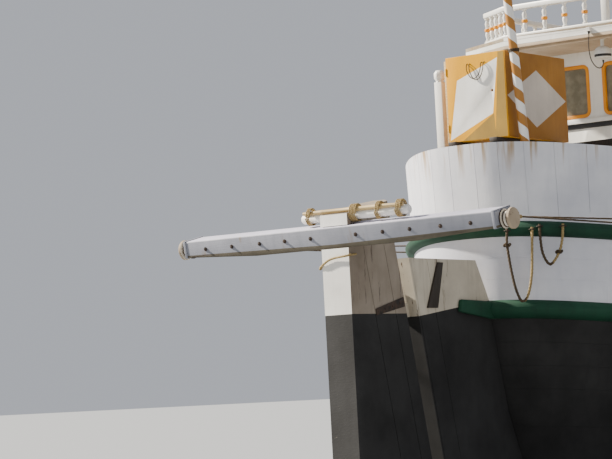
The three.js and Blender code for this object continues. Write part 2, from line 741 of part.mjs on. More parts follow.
// A gland on the deck's after edge, where the lamp's cable comes out
const glandY = 775;
const glandReach = 45;
const glandFoot = 5640;
const gland = box(upperAft - glandReach, upperAft + 20, glandY - 22, glandY + 22, glandFoot, glandFoot + 44);
addNode('upper_deck', join(planSlab(upperOutline, upperDeckFoot, upperDeckHead), gland), 'houseWhite');

const railInset = 55;
const railSideHalf = 2330;   // distance from the centreline of the side rails
const railCornerFore = 260;  // how far forward of the after rail the side rails start
const railTop = 6080;
const railHeight = 60;
const railBeam = 80;
const balusterPitch = 265;
const cornerPitch = 119;
const newelHalf = 37;
const newelOut = 590;        // distance from the centreline of the square posts in the after rail
// Turned baluster: share of its height, radius
const balusterProfile = [
  [0, 24], [0.12, 16], [0.3, 24], [0.45, 17], [0.5, 29], [0.55, 17], [0.76, 23], [0.9, 15], [1, 23],
];
const balusterSides = 6;
const railFoot = upperDeckHead + seat;
const balusterFoot = railFoot + 10;
const balusterHeight = railTop - 10 - balusterFoot;
const baluster = toClosed(new THREE.LatheGeometry(
  [[0, 0], ...balusterProfile.map(([share, radius]) => [radius, share * balusterHeight]), [0, balusterHeight]]
    .map(([radius, z]) => new THREE.Vector2(radius, z)),
  balusterSides,
).rotateX(Math.PI / 2).translate(0, 0, balusterFoot));
const newel = box(-newelHalf, newelHalf, -newelHalf, newelHalf, railFoot, railTop);

// The rail's line in plan, grown outwards by `out`
const rail = (out) => [
  [upperFore - railInset + out, -railSideHalf - out],
  [upperAft + railInset + railCornerFore - out * 0.6, -railSideHalf - out],
  [upperAft + railInset - out, -upperCornerHalf - out * 0.6],
  [upperAft + railInset - out, upperCornerHalf + out * 0.6],
  [upperAft + railInset + railCornerFore - out * 0.6, railSideHalf + out],
  [upperFore - railInset + out, railSideHalf + out],
];
const railOutline = [...rail(railBeam / 2), ...rail(-railBeam / 2).reverse()];
const balustradePieces = [
  planSlab(railOutline, railTop - railHeight, railTop),
  planSlab(railOutline, railFoot, railFoot + 30),
];

// Legs of the rail from starboard forward round to port forward: where each starts, its baluster
// spacing and the upright at its start
const [foreStarboard, cornerStarboard, aftStarboard, aftPort, cornerPort, forePort] = rail(0);
const railAft = upperAft + railInset;
const railLegs = [
  [foreStarboard, balusterPitch, newel],
  [cornerStarboard, cornerPitch, baluster],
  [aftStarboard, balusterPitch, baluster],
  [[railAft, -newelOut], balusterPitch, newel],
  [[railAft, newelOut], balusterPitch, newel],
  [aftPort, cornerPitch, baluster],
  [cornerPort, balusterPitch, baluster],
  [forePort, balusterPitch, newel],
];
railLegs.forEach(([[x, y], pitch, upright], leg) => {
  const start = vec(x, y, 0);
  const end = leg + 1 < railLegs.length ? vec(...railLegs[leg + 1][0], 0) : start;
  const bays = Math.max(1, Math.round(start.distanceTo(end) / pitch));
  for (let i = 0; i < bays; i += 1) {
    const at = start.clone().lerp(end, i / bays);
    balustradePieces.push(shifted(i === 0 ? upright : baluster, at.x, at.y, 0));
  }
});
addNode('upper_deck_balustrade', join(...balustradePieces), 'houseWhite');

// Lamp under the after edge of the upper deck, and the cable that hangs from the gland to it.
// Lamp profile: [radius, height above its lowest rim]
const lampX = -6650;
const lampY = 738;
const lampFoot = 5345;
const lampHeight = upperDeckFoot - seat - lampFoot;
const lampSocket = 18;       // how far the cable's socket stands out under the lamp
const lampProfile = [
  [0, -lampSocket], [14, -lampSocket], [14, 0], [88, 0], [96, 12], [96, 30], [90, 95], [62, 128], [20, 140],
  [20, lampHeight - 12], [48, lampHeight - 12], [48, lampHeight], [0, lampHeight],
];
const lamp = new THREE.LatheGeometry(lampProfile.map(([radius, z]) => new THREE.Vector2(radius, z)), 16);
addNode('stern_lamp', shifted(toClosed(lamp.rotateX(Math.PI / 2)), lampX, lampY, lampFoot), 'lampEnamel');

const cableRadius = 6;
const cableX = upperAft - glandReach + 20;
const cableRoute = [
  [cableX, glandY, glandFoot - seat], [cableX, glandY, 5600], [cableX - 1, 783, 5520],
  [cableX + 8, 788, 5420], [cableX + 32, 784, 5325], [-6790, 771, 5258], [-6725, 755, 5231],
  [-6672, 743, 5250], [lampX, lampY, 5290], [lampX, lampY, lampFoot - lampSocket - seat],
];
addNode('lamp_cable', roundTube(cableRoute.map((point) => vec(...point)), cableRadius, 56), 'cableRubber');

// Cargo hatch in the waist

const hatchAft = -300;
const hatchFore = 3500;
const hatchHalf = 1300;
const coamingWidth = 90;
const coamingTop = 2980;
addNode('hatch_coaming', standOnDeck(cut(
  box(hatchAft, hatchFore, -hatchHalf, hatchHalf, wallFoot, coamingTop),
  box(hatchAft + coamingWidth, hatchFore - coamingWidth, -hatchHalf + coamingWidth, hatchHalf - coamingWidth,
    wallFoot - 10, coamingTop + 10),
)), 'sternTimber');
addNode('hatch_boards', box(hatchAft - 30, hatchFore + 30, -hatchHalf - 30, hatchHalf + 30, coamingTop + seat,
  coamingTop + 70), 'deckTimber');

// Fore bitts: two posts and a crossbar on the foredeck

const bittsX = 9700;
addNode('fore_bitts', standOnDeck(join(
  box(bittsX - 90, bittsX + 90, 420, 600, wallFoot, 3500),
  box(bittsX - 90, bittsX + 90, -600, -420, wallFoot, 3500),
  box(bittsX - 60, bittsX + 60, -900, 900, 3130, 3280),
)), 'bareTimber');

// Mast, raked forward, with a bolster that carries the yard's parrel

const mastRake = rad(4);
const mastFoot = vec(4700, 0, 2300);
const mastLength = 9300;
const mastAxis = vec(Math.sin(mastRake), 0, Math.cos(mastRake));
const onMast = (geometry) => geometry.clone().rotateY(mastRake).translate(mastFoot.x, mastFoot.y, mastFoot.z);
const mastFootRadius = 190;
const mastHeadRadius = 110;
const bolsterZ = 6500;
const mastRadiusAt = (z) => mastFootRadius + (mastHeadRadius - mastFootRadius) * z / mastLength;
const bolsterStandOut = 60;
const mastProfile = [
  [0, 0], [mastFootRadius, 0], [mastRadiusAt(bolsterZ - 160), bolsterZ - 160],
  [mastRadiusAt(bolsterZ) + bolsterStandOut, bolsterZ - 90],
  [mastRadiusAt(bolsterZ) + bolsterStandOut, bolsterZ],
  [mastRadiusAt(bolsterZ), bolsterZ], [mastHeadRadius, mastLength - 60],
  [mastHeadRadius * 0.6, mastLength], [0, mastLength],
].map(([r, z]) => new THREE.Vector2(r, z));
addNode('mast', standOnDeck(
  onMast(toClosed(new THREE.LatheGeometry(mastProfile, 16).rotateX(Math.PI / 2))),
), 'bareTimber');

// Stays: wire from the masthead to the stem and to the waist rails

const wireRadius = 16;
const wireClear = 0.6;
// Where a wire meets the mast: beside it, on the side that faces the wire's foot
function mastEye(below, foot) {
  const height = mastLength - below;
  const eye = mastFoot.clone().addScaledVector(mastAxis, height);
  const towards = vec(foot.x - eye.x, foot.y - eye.y, 0).normalize();
  return eye.addScaledVector(towards, mastRadiusAt(height) + wireRadius + wireClear);
}

const eyeBolt = vec(stemHeadX + 150, 0, stemHeadZ + seat);
addNode('forestay', join(
  bar(eyeBolt, eyeBolt.clone().add(vec(0, 0, 110)), 34, 34, 8),
  bar(mastEye(350, eyeBolt), eyeBolt.clone().add(vec(0, 0, 70)), wireRadius, wireRadius, 6),
), 'steelWire');

// Each shroud: station of its foot on the waist rail, distance of its eye below the masthead
const shroudLines = [[4350, 350], [3250, 470]];
const strapRadius = 45;
const strapLift = 20;
const railTopAt = (x) => {
  const t = (x - levels.upperWaleHead.xStern) / (levels.upperWaleHead.xBow - levels.upperWaleHead.xStern);
  return between('upperWaleHead', 'rim', waistShare, t, 1, -bulwarkThickness / 2, railDepth + strapLift);
};
for (const [suffix, side] of [['port', 1], ['starboard', -1]]) {
  const lines = shroudLines.map(([x, below]) => {
    const point = railTopAt(x);
    const foot = vec(point.x, side * point.y, point.z);
    return { foot, eye: mastEye(below, foot) };
  });
  const strap = bar(lines[0].foot.clone().add(vec(150, 0, 0)), lines[1].foot.clone().add(vec(-150, 0, 0)),
    strapRadius, strapRadius, 8);
  addNode(`shrouds_${suffix}`, cut(
    join(strap, ...lines.map(({ foot, eye }) => bar(foot, eye, wireRadius, wireRadius, 6))),
    shifted(waistRails[suffix], 0, 0, seat),
  ), 'steelWire');
}

// Lateen yard on the port side of the mast, its sail furled under it

const yardSlope = rad(26);
const yardLength = 15600;
const yardForeShare = 0.47;      // share of the yard that lies ahead of the mast
const yardY = 370;
const slingHeight = bolsterZ + 110;
const slingPoint = mastFoot.clone().addScaledVector(mastAxis, slingHeight).add(vec(0, yardY, 0));
const yardAlong = vec(Math.cos(yardSlope), 0, -Math.sin(yardSlope));
const yardFore = slingPoint.clone().addScaledVector(yardAlong, yardLength * yardForeShare);
const yardAft = slingPoint.clone().addScaledVector(yardAlong, -yardLength * (1 - yardForeShare));
const yardMidRadius = 135;
const yardEndRadius = 60;
// share along the yard from its fore end, radius
const yardTaper = [
  [0, yardEndRadius], [0.25, 110], [yardForeShare, yardMidRadius], [0.72, 110], [1, yardEndRadius],
];

// Rings round a line that slopes up from start to end, hung the given drop below it
function sparRings(start, end, taper, sides, squash, drop) {
  const along = new THREE.Vector3().subVectors(end, start).normalize();
  const across = vec(0, 1, 0);
  const down = new THREE.Vector3().crossVectors(along, across);
  return taper.map(([share, radius]) => Array.from({ length: sides }, (_, i) => {
    const angle = (i + 0.5) * 2 * Math.PI / sides;
    return start.clone().lerp(end, share)
      .addScaledVector(across, Math.cos(angle) * radius * squash)
      .addScaledVector(down, Math.sin(angle) * radius + drop);
  }));
}

const yardShape = (grow) => loft(
  sparRings(yardFore, yardAft, yardTaper.map(([share, radius]) => [share, radius + grow]), 12, 1, 0),
  fanCap(12),
);
addNode('lateen_yard', yardShape(0), 'bareTimber');
const yardClear = yardShape(0.6);

// Furled sail: a bundle that swells towards the middle and is nipped by its lashings
const furlStart = 0.06;
const furlEnd = 0.93;
const furlSteps = 24;
const furlTaper = Array.from({ length: furlSteps + 1 }, (_, i) => {
  const share = i / furlSteps;
  const swell = Math.sin(Math.PI * Math.min(1, Math.max(0, 0.06 + 0.88 * share)));
  const nip = i % 3 === 0 ? 0.78 : 1;
  return [furlStart + (furlEnd - furlStart) * share, (70 + 105 * swell) * nip];
});
const furlDrop = 215;
addNode('furled_sail', cut(
  loft(sparRings(yardFore, yardAft, furlTaper, 12, 0.85, furlDrop), fanCap(12)),
  yardClear,
), 'sailCloth');

// Parrel: a rope collar round the mast that rests on the bolster and holds the yard
const parrelInner = mastRadiusAt(bolsterZ) + 22;
const parrelRadius = 38;
const parrelZ = bolsterZ + parrelRadius + seat;
const parrelRing = onMast(
  new THREE.TorusGeometry(parrelInner + parrelRadius, parrelRadius, 8, 20).translate(0, 0, parrelZ),
);
const parrelReach = parrelInner + parrelRadius;
const parrelArm = onMast(box(-70, 70, parrelReach, yardY, parrelZ + 10, slingHeight + 40));
addNode('yard_parrel', cut(join(parrelRing, parrelArm), yardClear), 'rope');

// Rope swags that hang from the starboard upper wale on the turn of the stern.
// Each route is [distance out from the centreline along the wale, height]
const swagRadius = 15;
const swagSteps = 40;
const waleStandOut = 84;
const waleCrown = 0.55;       // share of the wale's height where it stands out furthest
const swagRoutes = {
  rope_swag_aft: [[450, 3215], [441, 3062], [465, 2823], [496, 2628], [535, 2510], [578, 2560], [608, 2764],
    [624, 3047], [632, 3215]],
  rope_swag_fore: [[692, 3240], [692, 3113], [706, 2949], [752, 2848], [809, 2950], [834, 3082], [847, 3233]],
};

// Where a level is this far out from the centreline, on the turn of the stern
function shareAt(level, reach) {
  const l = levels[level];
  const fullness = (reach - tipHalf) / (l.halfBeam - tipHalf);
  return (1 - (1 - fullness ** (1 / l.sternRoot)) ** (1 / l.sternPower)) / 2;
}

for (const [name, route] of Object.entries(swagRoutes)) {
  const points = route.map(([reach, height]) => {
    const t = shareAt('upperWaleFoot', reach);
    const out = waleStandOut + swagRadius + 2 * seat;
    const foot = facetOffset('upperWaleFoot', t, -1, out);
    const point = foot.lerp(facetOffset('upperWaleHead', t, -1, out), waleCrown);
    return vec(point.x, point.y, height);
  });
  addNode(name, roundTube(points, swagRadius, swagSteps), 'rope');
}

export default boat;
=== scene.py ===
# Finishes, planking and fittings of a wooden cargo dhow, made round its loaded model.
# Metres, +X forward, +Y to port, +Z up, with the waterline at z = 0.

import json
import math

import bmesh
import bpy
from mathutils import Matrix, Vector
from mathutils import noise as relief_noise
from mathutils.geometry import interpolate_bezier


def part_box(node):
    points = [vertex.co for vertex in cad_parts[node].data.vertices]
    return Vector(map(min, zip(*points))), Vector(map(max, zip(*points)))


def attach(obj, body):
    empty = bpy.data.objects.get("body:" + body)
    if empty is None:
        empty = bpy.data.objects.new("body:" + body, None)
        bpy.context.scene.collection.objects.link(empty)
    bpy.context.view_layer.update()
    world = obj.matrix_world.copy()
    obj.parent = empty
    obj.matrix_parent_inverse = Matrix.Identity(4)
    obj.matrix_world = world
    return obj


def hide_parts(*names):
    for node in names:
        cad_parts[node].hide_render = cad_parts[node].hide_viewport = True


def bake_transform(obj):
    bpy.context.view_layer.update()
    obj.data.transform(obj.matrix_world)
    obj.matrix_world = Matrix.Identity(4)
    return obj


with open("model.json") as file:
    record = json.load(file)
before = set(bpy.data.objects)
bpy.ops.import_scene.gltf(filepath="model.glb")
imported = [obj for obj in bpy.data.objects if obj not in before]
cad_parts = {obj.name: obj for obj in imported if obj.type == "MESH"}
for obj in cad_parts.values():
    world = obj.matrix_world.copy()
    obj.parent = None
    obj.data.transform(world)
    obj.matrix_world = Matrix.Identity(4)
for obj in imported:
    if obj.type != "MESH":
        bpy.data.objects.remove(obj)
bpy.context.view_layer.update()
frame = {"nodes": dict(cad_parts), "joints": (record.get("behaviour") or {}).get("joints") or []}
nodes = frame["nodes"]
UP = Vector((0, 0, 1))

# Camera: on the starboard quarter, a little above the water, looking up at the stern
PHOTO_WIDTH = 612
FOCAL_PIXELS = 2486.7
SENSOR_WIDTH = 36
CAMERA_PLACE = Vector((-31.14, -13.22, 1.70))
CAMERA_YAW = math.radians(36.73)
CAMERA_PITCH = math.radians(3.84)
CAMERA_ROLL = math.radians(2.94)
VIEW_REACH = 2000

camera = bpy.data.objects.new("camera", bpy.data.cameras.new("camera"))
bpy.context.scene.collection.objects.link(camera)
bpy.context.scene.camera = camera
camera.data.sensor_width = SENSOR_WIDTH
camera.data.lens = FOCAL_PIXELS * SENSOR_WIDTH / PHOTO_WIDTH
camera.data.clip_end = VIEW_REACH
view_turn = (
    Matrix.Rotation(CAMERA_YAW - math.pi / 2, 4, "Z")
    @ Matrix.Rotation(math.pi / 2 + CAMERA_PITCH, 4, "X")
    @ Matrix.Rotation(-CAMERA_ROLL, 4, "Z")
)
camera.matrix_world = Matrix.Translation(CAMERA_PLACE) @ view_turn


# Making and shaping pieces


def only(piece):
    """Leaves one piece selected and active, in object mode."""
    if bpy.context.mode != "OBJECT":
        bpy.ops.object.mode_set(mode="OBJECT")
    bpy.ops.object.select_all(action="DESELECT")
    piece.select_set(True)
    bpy.context.view_layer.objects.active = piece


def settle(piece):
    """Puts a piece's place, turn and scale into its mesh."""
    only(piece)
    bpy.ops.object.transform_apply(location=True, rotation=True, scale=True)
    return piece


def edit(piece, action="SELECT"):
    """Opens one piece for editing with all of it selected, or none of it where action is DESELECT."""
    only(piece)
    bpy.ops.object.mode_set(mode="EDIT")
    bpy.ops.mesh.select_all(action=action)


def end_edit(outward=False):
    """Leaves edit mode. With outward, all faces are first turned to the outside."""
    if outward:
        bpy.ops.mesh.select_all(action="SELECT")
        bpy.ops.mesh.normals_make_consistent(inside=False)
    bpy.ops.object.mode_set(mode="OBJECT")


def finish_with(piece, kind, **settings):
    """Adds a modifier and applies it."""
    only(piece)
    modifier = piece.modifiers.new(kind.lower(), kind)
    for key, value in settings.items():
        setattr(modifier, key, value)
    bpy.ops.object.modifier_apply(modifier=modifier.name)
    return piece


def smooth(piece, degrees=35):
    """Shades a piece smooth, but for the edges that turn by more than the angle."""
    only(piece)
    piece.data.update()
    bpy.ops.object.shade_smooth_by_angle(angle=math.radians(degrees), keep_sharp_edges=False)
    return piece


def soften(piece, width=0.004, segments=2, degrees=40):
    """Rounds a piece's sharp edges a little, as tools and wear leave them."""
    finish_with(piece, "BEVEL", width=width, segments=segments, limit_method="ANGLE",
                angle_limit=math.radians(degrees), harden_normals=False)
    return smooth(piece)


def named(piece, name):
    piece.name = name
    piece.data.name = name
    return piece


def new_piece(name):
    """The piece that a primitive has just added, settled and named."""
    return named(settle(bpy.context.active_object), name)


def block(name, low, high, edge=0.004):
    """A squared timber or plate between two corners, with softened edges."""
    size = [b - a for a, b in zip(low, high)]
    middle = [(a + b) / 2 for a, b in zip(low, high)]
    bpy.ops.mesh.primitive_cube_add(size=1, location=middle, scale=size)
    piece = new_piece(name)
    return soften(piece, width=edge) if edge else piece


def placed_on(piece, start, end):
    """Turns and moves a piece made up the Z axis from the origin, so that Z runs from start to end."""
    along = Vector(end) - Vector(start)
    turn = along.to_track_quat("Z", "Y").to_matrix().to_4x4()
    piece.matrix_world = Matrix.Translation(Vector(start)) @ turn
    return settle(piece)


def turned(name, start, end, profile, sides=24):
    """A lathe-turned form from start to end. profile is [share of the length, radius]."""
    length = (Vector(end) - Vector(start)).length
    first_share, first_radius = profile[0]
    bpy.ops.mesh.primitive_circle_add(vertices=sides, radius=first_radius, fill_type="NGON",
                                      location=(0, 0, first_share * length))
    piece = new_piece(name)
    edit(piece)
    bpy.ops.mesh.flip_normals()
    for (share, radius), (next_share, next_radius) in zip(profile, profile[1:]):
        rise = (next_share - share) * length
        bpy.ops.mesh.extrude_region_move(TRANSFORM_OT_translate={"value": (0, 0, rise)})
        growth = next_radius / radius
        bpy.ops.transform.resize(value=(growth, growth, 1), center_override=(0, 0, next_share * length))
    end_edit(outward=True)
    placed_on(piece, start, end)
    return smooth(piece, 40)


def copy_of(piece, name):
    """A second piece with its own mesh."""
    twin = piece.copy()
    twin.data = piece.data.copy()
    bpy.context.scene.collection.objects.link(twin)
    return named(twin, name)


def joined(name, pieces):
    """Several meshes made into one piece."""
    only(pieces[0])
    for piece in pieces[1:]:
        piece.select_set(True)
    bpy.ops.object.join()
    return named(pieces[0], name)


FLAT = math.radians(0.6)        # faces that meet at less than this angle are one flat side


def skin_copy(node, name):
    """A copy of a CAD node with its corners merged and its faces paired into quads, ready to be shaped."""
    piece = bpy.data.objects.new(name, nodes[node].data.copy())
    bpy.context.scene.collection.objects.link(piece)
    named(piece, name)
    piece.data.materials.clear()
    only(piece)
    bpy.ops.mesh.customdata_custom_splitnormals_clear()
    edit(piece)
    bpy.ops.mesh.remove_doubles(threshold=0.00002)
    bpy.ops.mesh.tris_convert_to_quads(face_threshold=math.radians(40), shape_threshold=math.radians(170))
    bpy.ops.mesh.select_all(action="DESELECT")
    end_edit()
    return piece


def flat_copy(node, name):
    """A copy of a CAD node whose flat sides are each one face, for timbers with square edges."""
    piece = skin_copy(node, name)
    edit(piece)
    bpy.ops.mesh.dissolve_limited(angle_limit=FLAT)
    bpy.ops.mesh.select_all(action="DESELECT")
    end_edit()
    return piece


def select_edges(piece, wanted):
    """In edit mode, selects just the edges for which wanted(edge) holds."""
    mesh = bmesh.from_edit_mesh(piece.data)
    bpy.ops.mesh.select_mode(type="EDGE")
    for edge in mesh.edges:
        edge.select_set(False)
    for edge in mesh.edges:
        if wanted(edge):
            edge.select_set(True)
    bmesh.update_edit_mesh(piece.data)


def select_faces(piece, wanted):
    """In edit mode, selects just the faces for which wanted(centre, normal) holds."""
    bpy.ops.mesh.select_all(action="DESELECT")
    mesh = bmesh.from_edit_mesh(piece.data)
    for face in mesh.faces:
        if wanted(face.calc_center_median(), face.normal):
            face.select_set(True)
    bmesh.update_edit_mesh(piece.data)


def steep(edge, share=0.8):
    first, second = (corner.co for corner in edge.verts)
    run = second - first
    return abs(run.z) > share * run.length


def smooth_surface(piece, levels=2):
    """Fairs the flat facets of a hull piece into curves and keeps its corners sharp."""
    edit(piece, "DESELECT")
    bpy.ops.mesh.select_mode(type="EDGE")
    bpy.ops.mesh.edges_select_sharp(sharpness=math.radians(40))
    bpy.ops.transform.edge_crease(value=1)
    end_edit()
    return finish_with(piece, "SUBSURF", levels=levels, render_levels=levels)


def cut_seams(piece, width=0.007, depth=0.008):
    """Opens a groove along every edge that is marked as a seam between planks."""
    edit(piece, "DESELECT")
    select_edges(piece, lambda edge: edge.seam)
    bpy.ops.mesh.bevel(offset=width / 2, segments=1, affect="EDGES")
    bpy.ops.mesh.select_mode(type="FACE")
    bpy.ops.mesh.inset(thickness=width * 0.1, depth=-depth, use_boundary=True)
    bpy.ops.mesh.select_all(action="SELECT")
    bpy.ops.mesh.mark_seam(clear=True)
    end_edit()
    return smooth(piece, 30)


def everywhere(centre, normal):
    return True


def faces_sideways(centre, normal):
    return abs(normal.y) > 0.9


def score(piece, planes, wanted=everywhere, seams=True):
    """Cuts lines where planes, each a point and a normal, cross the wanted faces.
    Seams are lines that cut_seams opens later."""
    edit(piece, "DESELECT")
    bpy.ops.mesh.select_mode(type="EDGE")
    for at, normal in planes:
        select_faces(piece, wanted)
        bpy.ops.mesh.bisect(plane_co=at, plane_no=normal)
        if seams:
            bpy.ops.mesh.mark_seam()
    end_edit()
    return piece


def spaced(first, last, pitch):
    """Stations a pitch apart from first on, up to last."""
    stations = []
    while first < last:
        stations.append(first)
        first += pitch
    return stations


def paint(piece, material, wanted):
    """Gives the wanted faces of a piece a finish of their own."""
    piece.data.materials.append(material)
    slot = len(piece.data.materials) - 1
    for face in piece.data.polygons:
        if wanted(face.center, face.normal):
            face.material_index = slot
    return piece


def paint_outline(piece, material, corners, facing):
    """Paints inside a straight-sided outline, its corners in order, on a piece's side that faces one way."""
    facing = Vector(facing)
    corners = [Vector(corner) for corner in corners]
    middle = sum(corners, Vector()) / len(corners)
    sides = []
    for start, end in zip(corners, corners[1:] + corners[:1]):
        inward = facing.cross(end - start).normalized()
        sides.append((start, inward if inward.dot(middle - start) > 0 else -inward))
    depth = 0.003

    def on_side(centre, normal):
        return normal.dot(facing) > 0.99 and abs((centre - middle).dot(facing)) < depth

    score(piece, sides, on_side, seams=False)
    return paint(piece, material, lambda centre, normal: on_side(centre, normal) and all(
        (centre - start).dot(inward) > 0 for start, inward in sides))


def prism(name, corners, depth, edge=0.003):
    """A plate with the given outline, in order, made thick along a vector."""
    bpy.ops.mesh.primitive_circle_add(vertices=len(corners), radius=1, fill_type="NGON")
    piece = new_piece(name)
    for vertex, corner in zip(piece.data.vertices, corners):
        vertex.co = corner
    edit(piece)
    bpy.ops.mesh.extrude_region_move(TRANSFORM_OT_translate={"value": depth})
    end_edit(outward=True)
    return soften(piece, width=edge) if edge else piece


def beam_between(name, start, end, width, height, edge=0.004):
    """A level timber between two points, width across and height up, centred on them."""
    start, end = Vector(start), Vector(end)
    run = end - start
    bpy.ops.mesh.primitive_cube_add(size=1, location=(start + end) / 2, scale=(run.length, width, height),
                                    rotation=(0, 0, math.atan2(run.y, run.x)))
    return soften(new_piece(name), width=edge)


def ring(name, centre, facing, radius, thickness):
    """A ring of round bar whose hole faces one way."""
    bpy.ops.mesh.primitive_torus_add(major_radius=radius, minor_radius=thickness / 2, major_segments=24,
                                     minor_segments=8)
    piece = placed_on(named(bpy.context.active_object, name), centre, Vector(centre) + Vector(facing))
    return smooth(piece, 80)


def set_out(line, out):
    """A line of level points moved to its right by a distance, with mitred corners."""
    moved = []
    for i, point in enumerate(line):
        before = (point - line[i - 1]).normalized() if i else (line[1] - point).normalized()
        after = (line[i + 1] - point).normalized() if i + 1 < len(line) else before
        mitre = (before + after).normalized()
        moved.append(point + Vector((mitre.y, -mitre.x, 0)) * (out / mitre.dot(before)))
    return moved


def level_strip(name, line, inner, outer, foot, depth, edge=0.004):
    """A timber that runs along a line of level points, between two distances to its right."""
    outline = set_out(line, outer) + set_out(line, inner)[::-1]
    return prism(name, [(x, y, foot) for x, y, z in outline], (0, 0, depth), edge)


# Rope


def smooth_line(points, step):
    """Places about a step apart along a smooth curve through the points."""
    points = [Vector(point) for point in points]
    ends = [2 * points[0] - points[1], *points, 2 * points[-1] - points[-2]]
    line = [points[0]]
    for before, start, end, after in zip(ends, ends[1:], ends[2:], ends[3:]):
        count = max(1, round((end - start).length / step))
        first_handle = start + (end - before) / 6
        last_handle = end - (after - start) / 6
        line += interpolate_bezier(start, first_handle, last_handle, end, count + 1)[1:]
    return line


STRANDS = 3
LAY_LENGTH = 3.4        # diameters that a strand takes to go once round the rope
WINDING_STEPS = 14      # places in each turn of a winding


def rope(name, line, diameter, relief=0.12):
    """Three strands twisted together along a line of close points, or a plain cord where relief is 0."""
    bpy.ops.curve.primitive_bezier_circle_add(radius=1)
    profile = bpy.context.active_object
    profile.data.splines.clear()
    outline = profile.data.splines.new("POLY")
    sides = 4 * STRANDS
    outline.points.add(sides - 1)
    outline.use_cyclic_u = True
    for i, point in enumerate(outline.points):
        turn = 2 * math.pi * i / sides
        reach = diameter / 2 * (1 - relief + relief * math.cos(STRANDS * turn))
        point.co = (reach * math.cos(turn), reach * math.sin(turn), 0, 1)
    curve = bpy.data.curves.new(name, "CURVE")
    curve.dimensions = "3D"
    curve.twist_mode = "MINIMUM"
    spline = curve.splines.new("POLY")
    spline.points.add(len(line) - 1)
    along = 0.0
    for i, place in enumerate(line):
        along += (place - line[i - 1]).length if i else 0.0
        spline.points[i].co = (*place, 1)
        spline.points[i].tilt = 2 * math.pi * along / (LAY_LENGTH * diameter)
    curve.bevel_mode = "OBJECT"
    curve.bevel_object = profile
    curve.use_fill_caps = True
    piece = bpy.data.objects.new(name, curve)
    bpy.context.scene.collection.objects.link(piece)
    only(piece)
    bpy.ops.object.convert(target="MESH")
    bpy.data.objects.remove(profile)
    edit(piece)
    bpy.ops.mesh.remove_doubles(threshold=0.0001)
    end_edit(outward=True)
    return named(smooth(piece, 70), name)


def winding(name, centre, across, up, advance, turns, diameter):
    """Rope wound round a centre: across and up are the half-axes of a turn, advance the way on in it."""
    centre, across, up, advance = Vector(centre), Vector(across), Vector(up), Vector(advance)
    places = []
    for i in range(round(turns * WINDING_STEPS) + 1):
        turn = 2 * math.pi * i / WINDING_STEPS
        places.append(centre + across * math.cos(turn) + up * math.sin(turn)
                      + advance * (i / WINDING_STEPS - turns / 2))
    return rope(name, smooth_line(places, diameter * 0.5), diameter)


def knot(name, centre, size, diameter):
    """An overhand knot pulled up small."""
    line = []
    steps = 26
    for i in range(steps + 1):
        turn = 2 * math.pi * i / steps * 0.97
        line.append(Vector(centre) + size * Vector((
            math.sin(turn) + 2 * math.sin(2 * turn),
            math.cos(turn) - 2 * math.cos(2 * turn),
            -math.sin(3 * turn),
        )))
    return rope(name, smooth_line(line, diameter * 0.5), diameter)


# Finishes


def linear(code):
    """An sRGB hex colour as linear red, green, blue and alpha."""
    parts = [int(code[i:i + 2], 16) / 255 for i in (1, 3, 5)]
    return [p / 12.92 if p <= 0.04045 else ((p + 0.055) / 1.055) ** 2.4 for p in parts] + [1]


def add(tree, kind, inputs=None, **settings):
    """Adds a shader node with its settings, values and links."""
    made = tree.nodes.new("ShaderNode" + kind)
    for key, value in settings.items():
        setattr(made, key, value)
    for key, value in (inputs or {}).items():
        if isinstance(value, bpy.types.NodeSocket):
            tree.links.new(value, made.inputs[key])
        else:
            made.inputs[key].default_value = value
    return made


REFRACTION = 1.5        # of paint, timber and glass


def new_finish(name, roughness=0.5, metallic=0.0):
    """A material, its node tree, its shader and the piece's own coordinates."""
    material = bpy.data.materials.new(name)
    material.use_nodes = True
    tree = material.node_tree
    shader = tree.nodes["Principled BSDF"]
    shader.inputs["Roughness"].default_value = roughness
    shader.inputs["Metallic"].default_value = metallic
    shader.inputs["IOR"].default_value = REFRACTION
    place = add(tree, "TexCoord").outputs["Object"]
    return material, tree, shader, place


def noise(tree, place, size, stretch=(1, 1, 1), detail=4.0, rough=0.55):
    """Noise whose blotches are about size metres across, longer along an axis whose stretch is over 1."""
    scaled = add(tree, "Mapping", {"Vector": place, "Scale": [1 / (size * s) for s in stretch]})
    return add(tree, "TexNoise", {"Vector": scaled.outputs["Vector"], "Scale": 1.0, "Detail": detail,
                                  "Roughness": rough}).outputs["Fac"]


def ramp(tree, value, low, high):
    """0 below low and 1 above high, straight between; turned over when low is above high."""
    return add(tree, "MapRange", {"Value": value, "From Min": low, "From Max": high}).outputs["Result"]


def mix(tree, share, first, second):
    """Blends two colours, each a socket or an sRGB hex code."""
    made = add(tree, "Mix", data_type="RGBA")
    for key, value in ((0, share), (6, first), (7, second)):
        if isinstance(value, bpy.types.NodeSocket):
            tree.links.new(value, made.inputs[key])
        else:
            made.inputs[key].default_value = linear(value) if isinstance(value, str) else value
    return made.outputs[2]


def times(tree, first, second):
    return add(tree, "Math", {0: first, 1: second}, operation="MULTIPLY").outputs[0]


def set_bump(tree, shader, height, depth, strength=0.6):
    """Relief from a height that runs 0 to 1 over a depth in metres."""
    made = add(tree, "Bump", {"Height": height, "Distance": depth, "Strength": strength})
    tree.links.new(made.outputs["Normal"], shader.inputs["Normal"])


def set_roughness(tree, shader, value, low, high):
    """Roughness that goes from low to high as a value goes from 0 to 1."""
    made = add(tree, "MapRange", {"Value": value, "To Min": low, "To Max": min(1.0, high)})
    tree.links.new(made.outputs["Result"], shader.inputs["Roughness"])


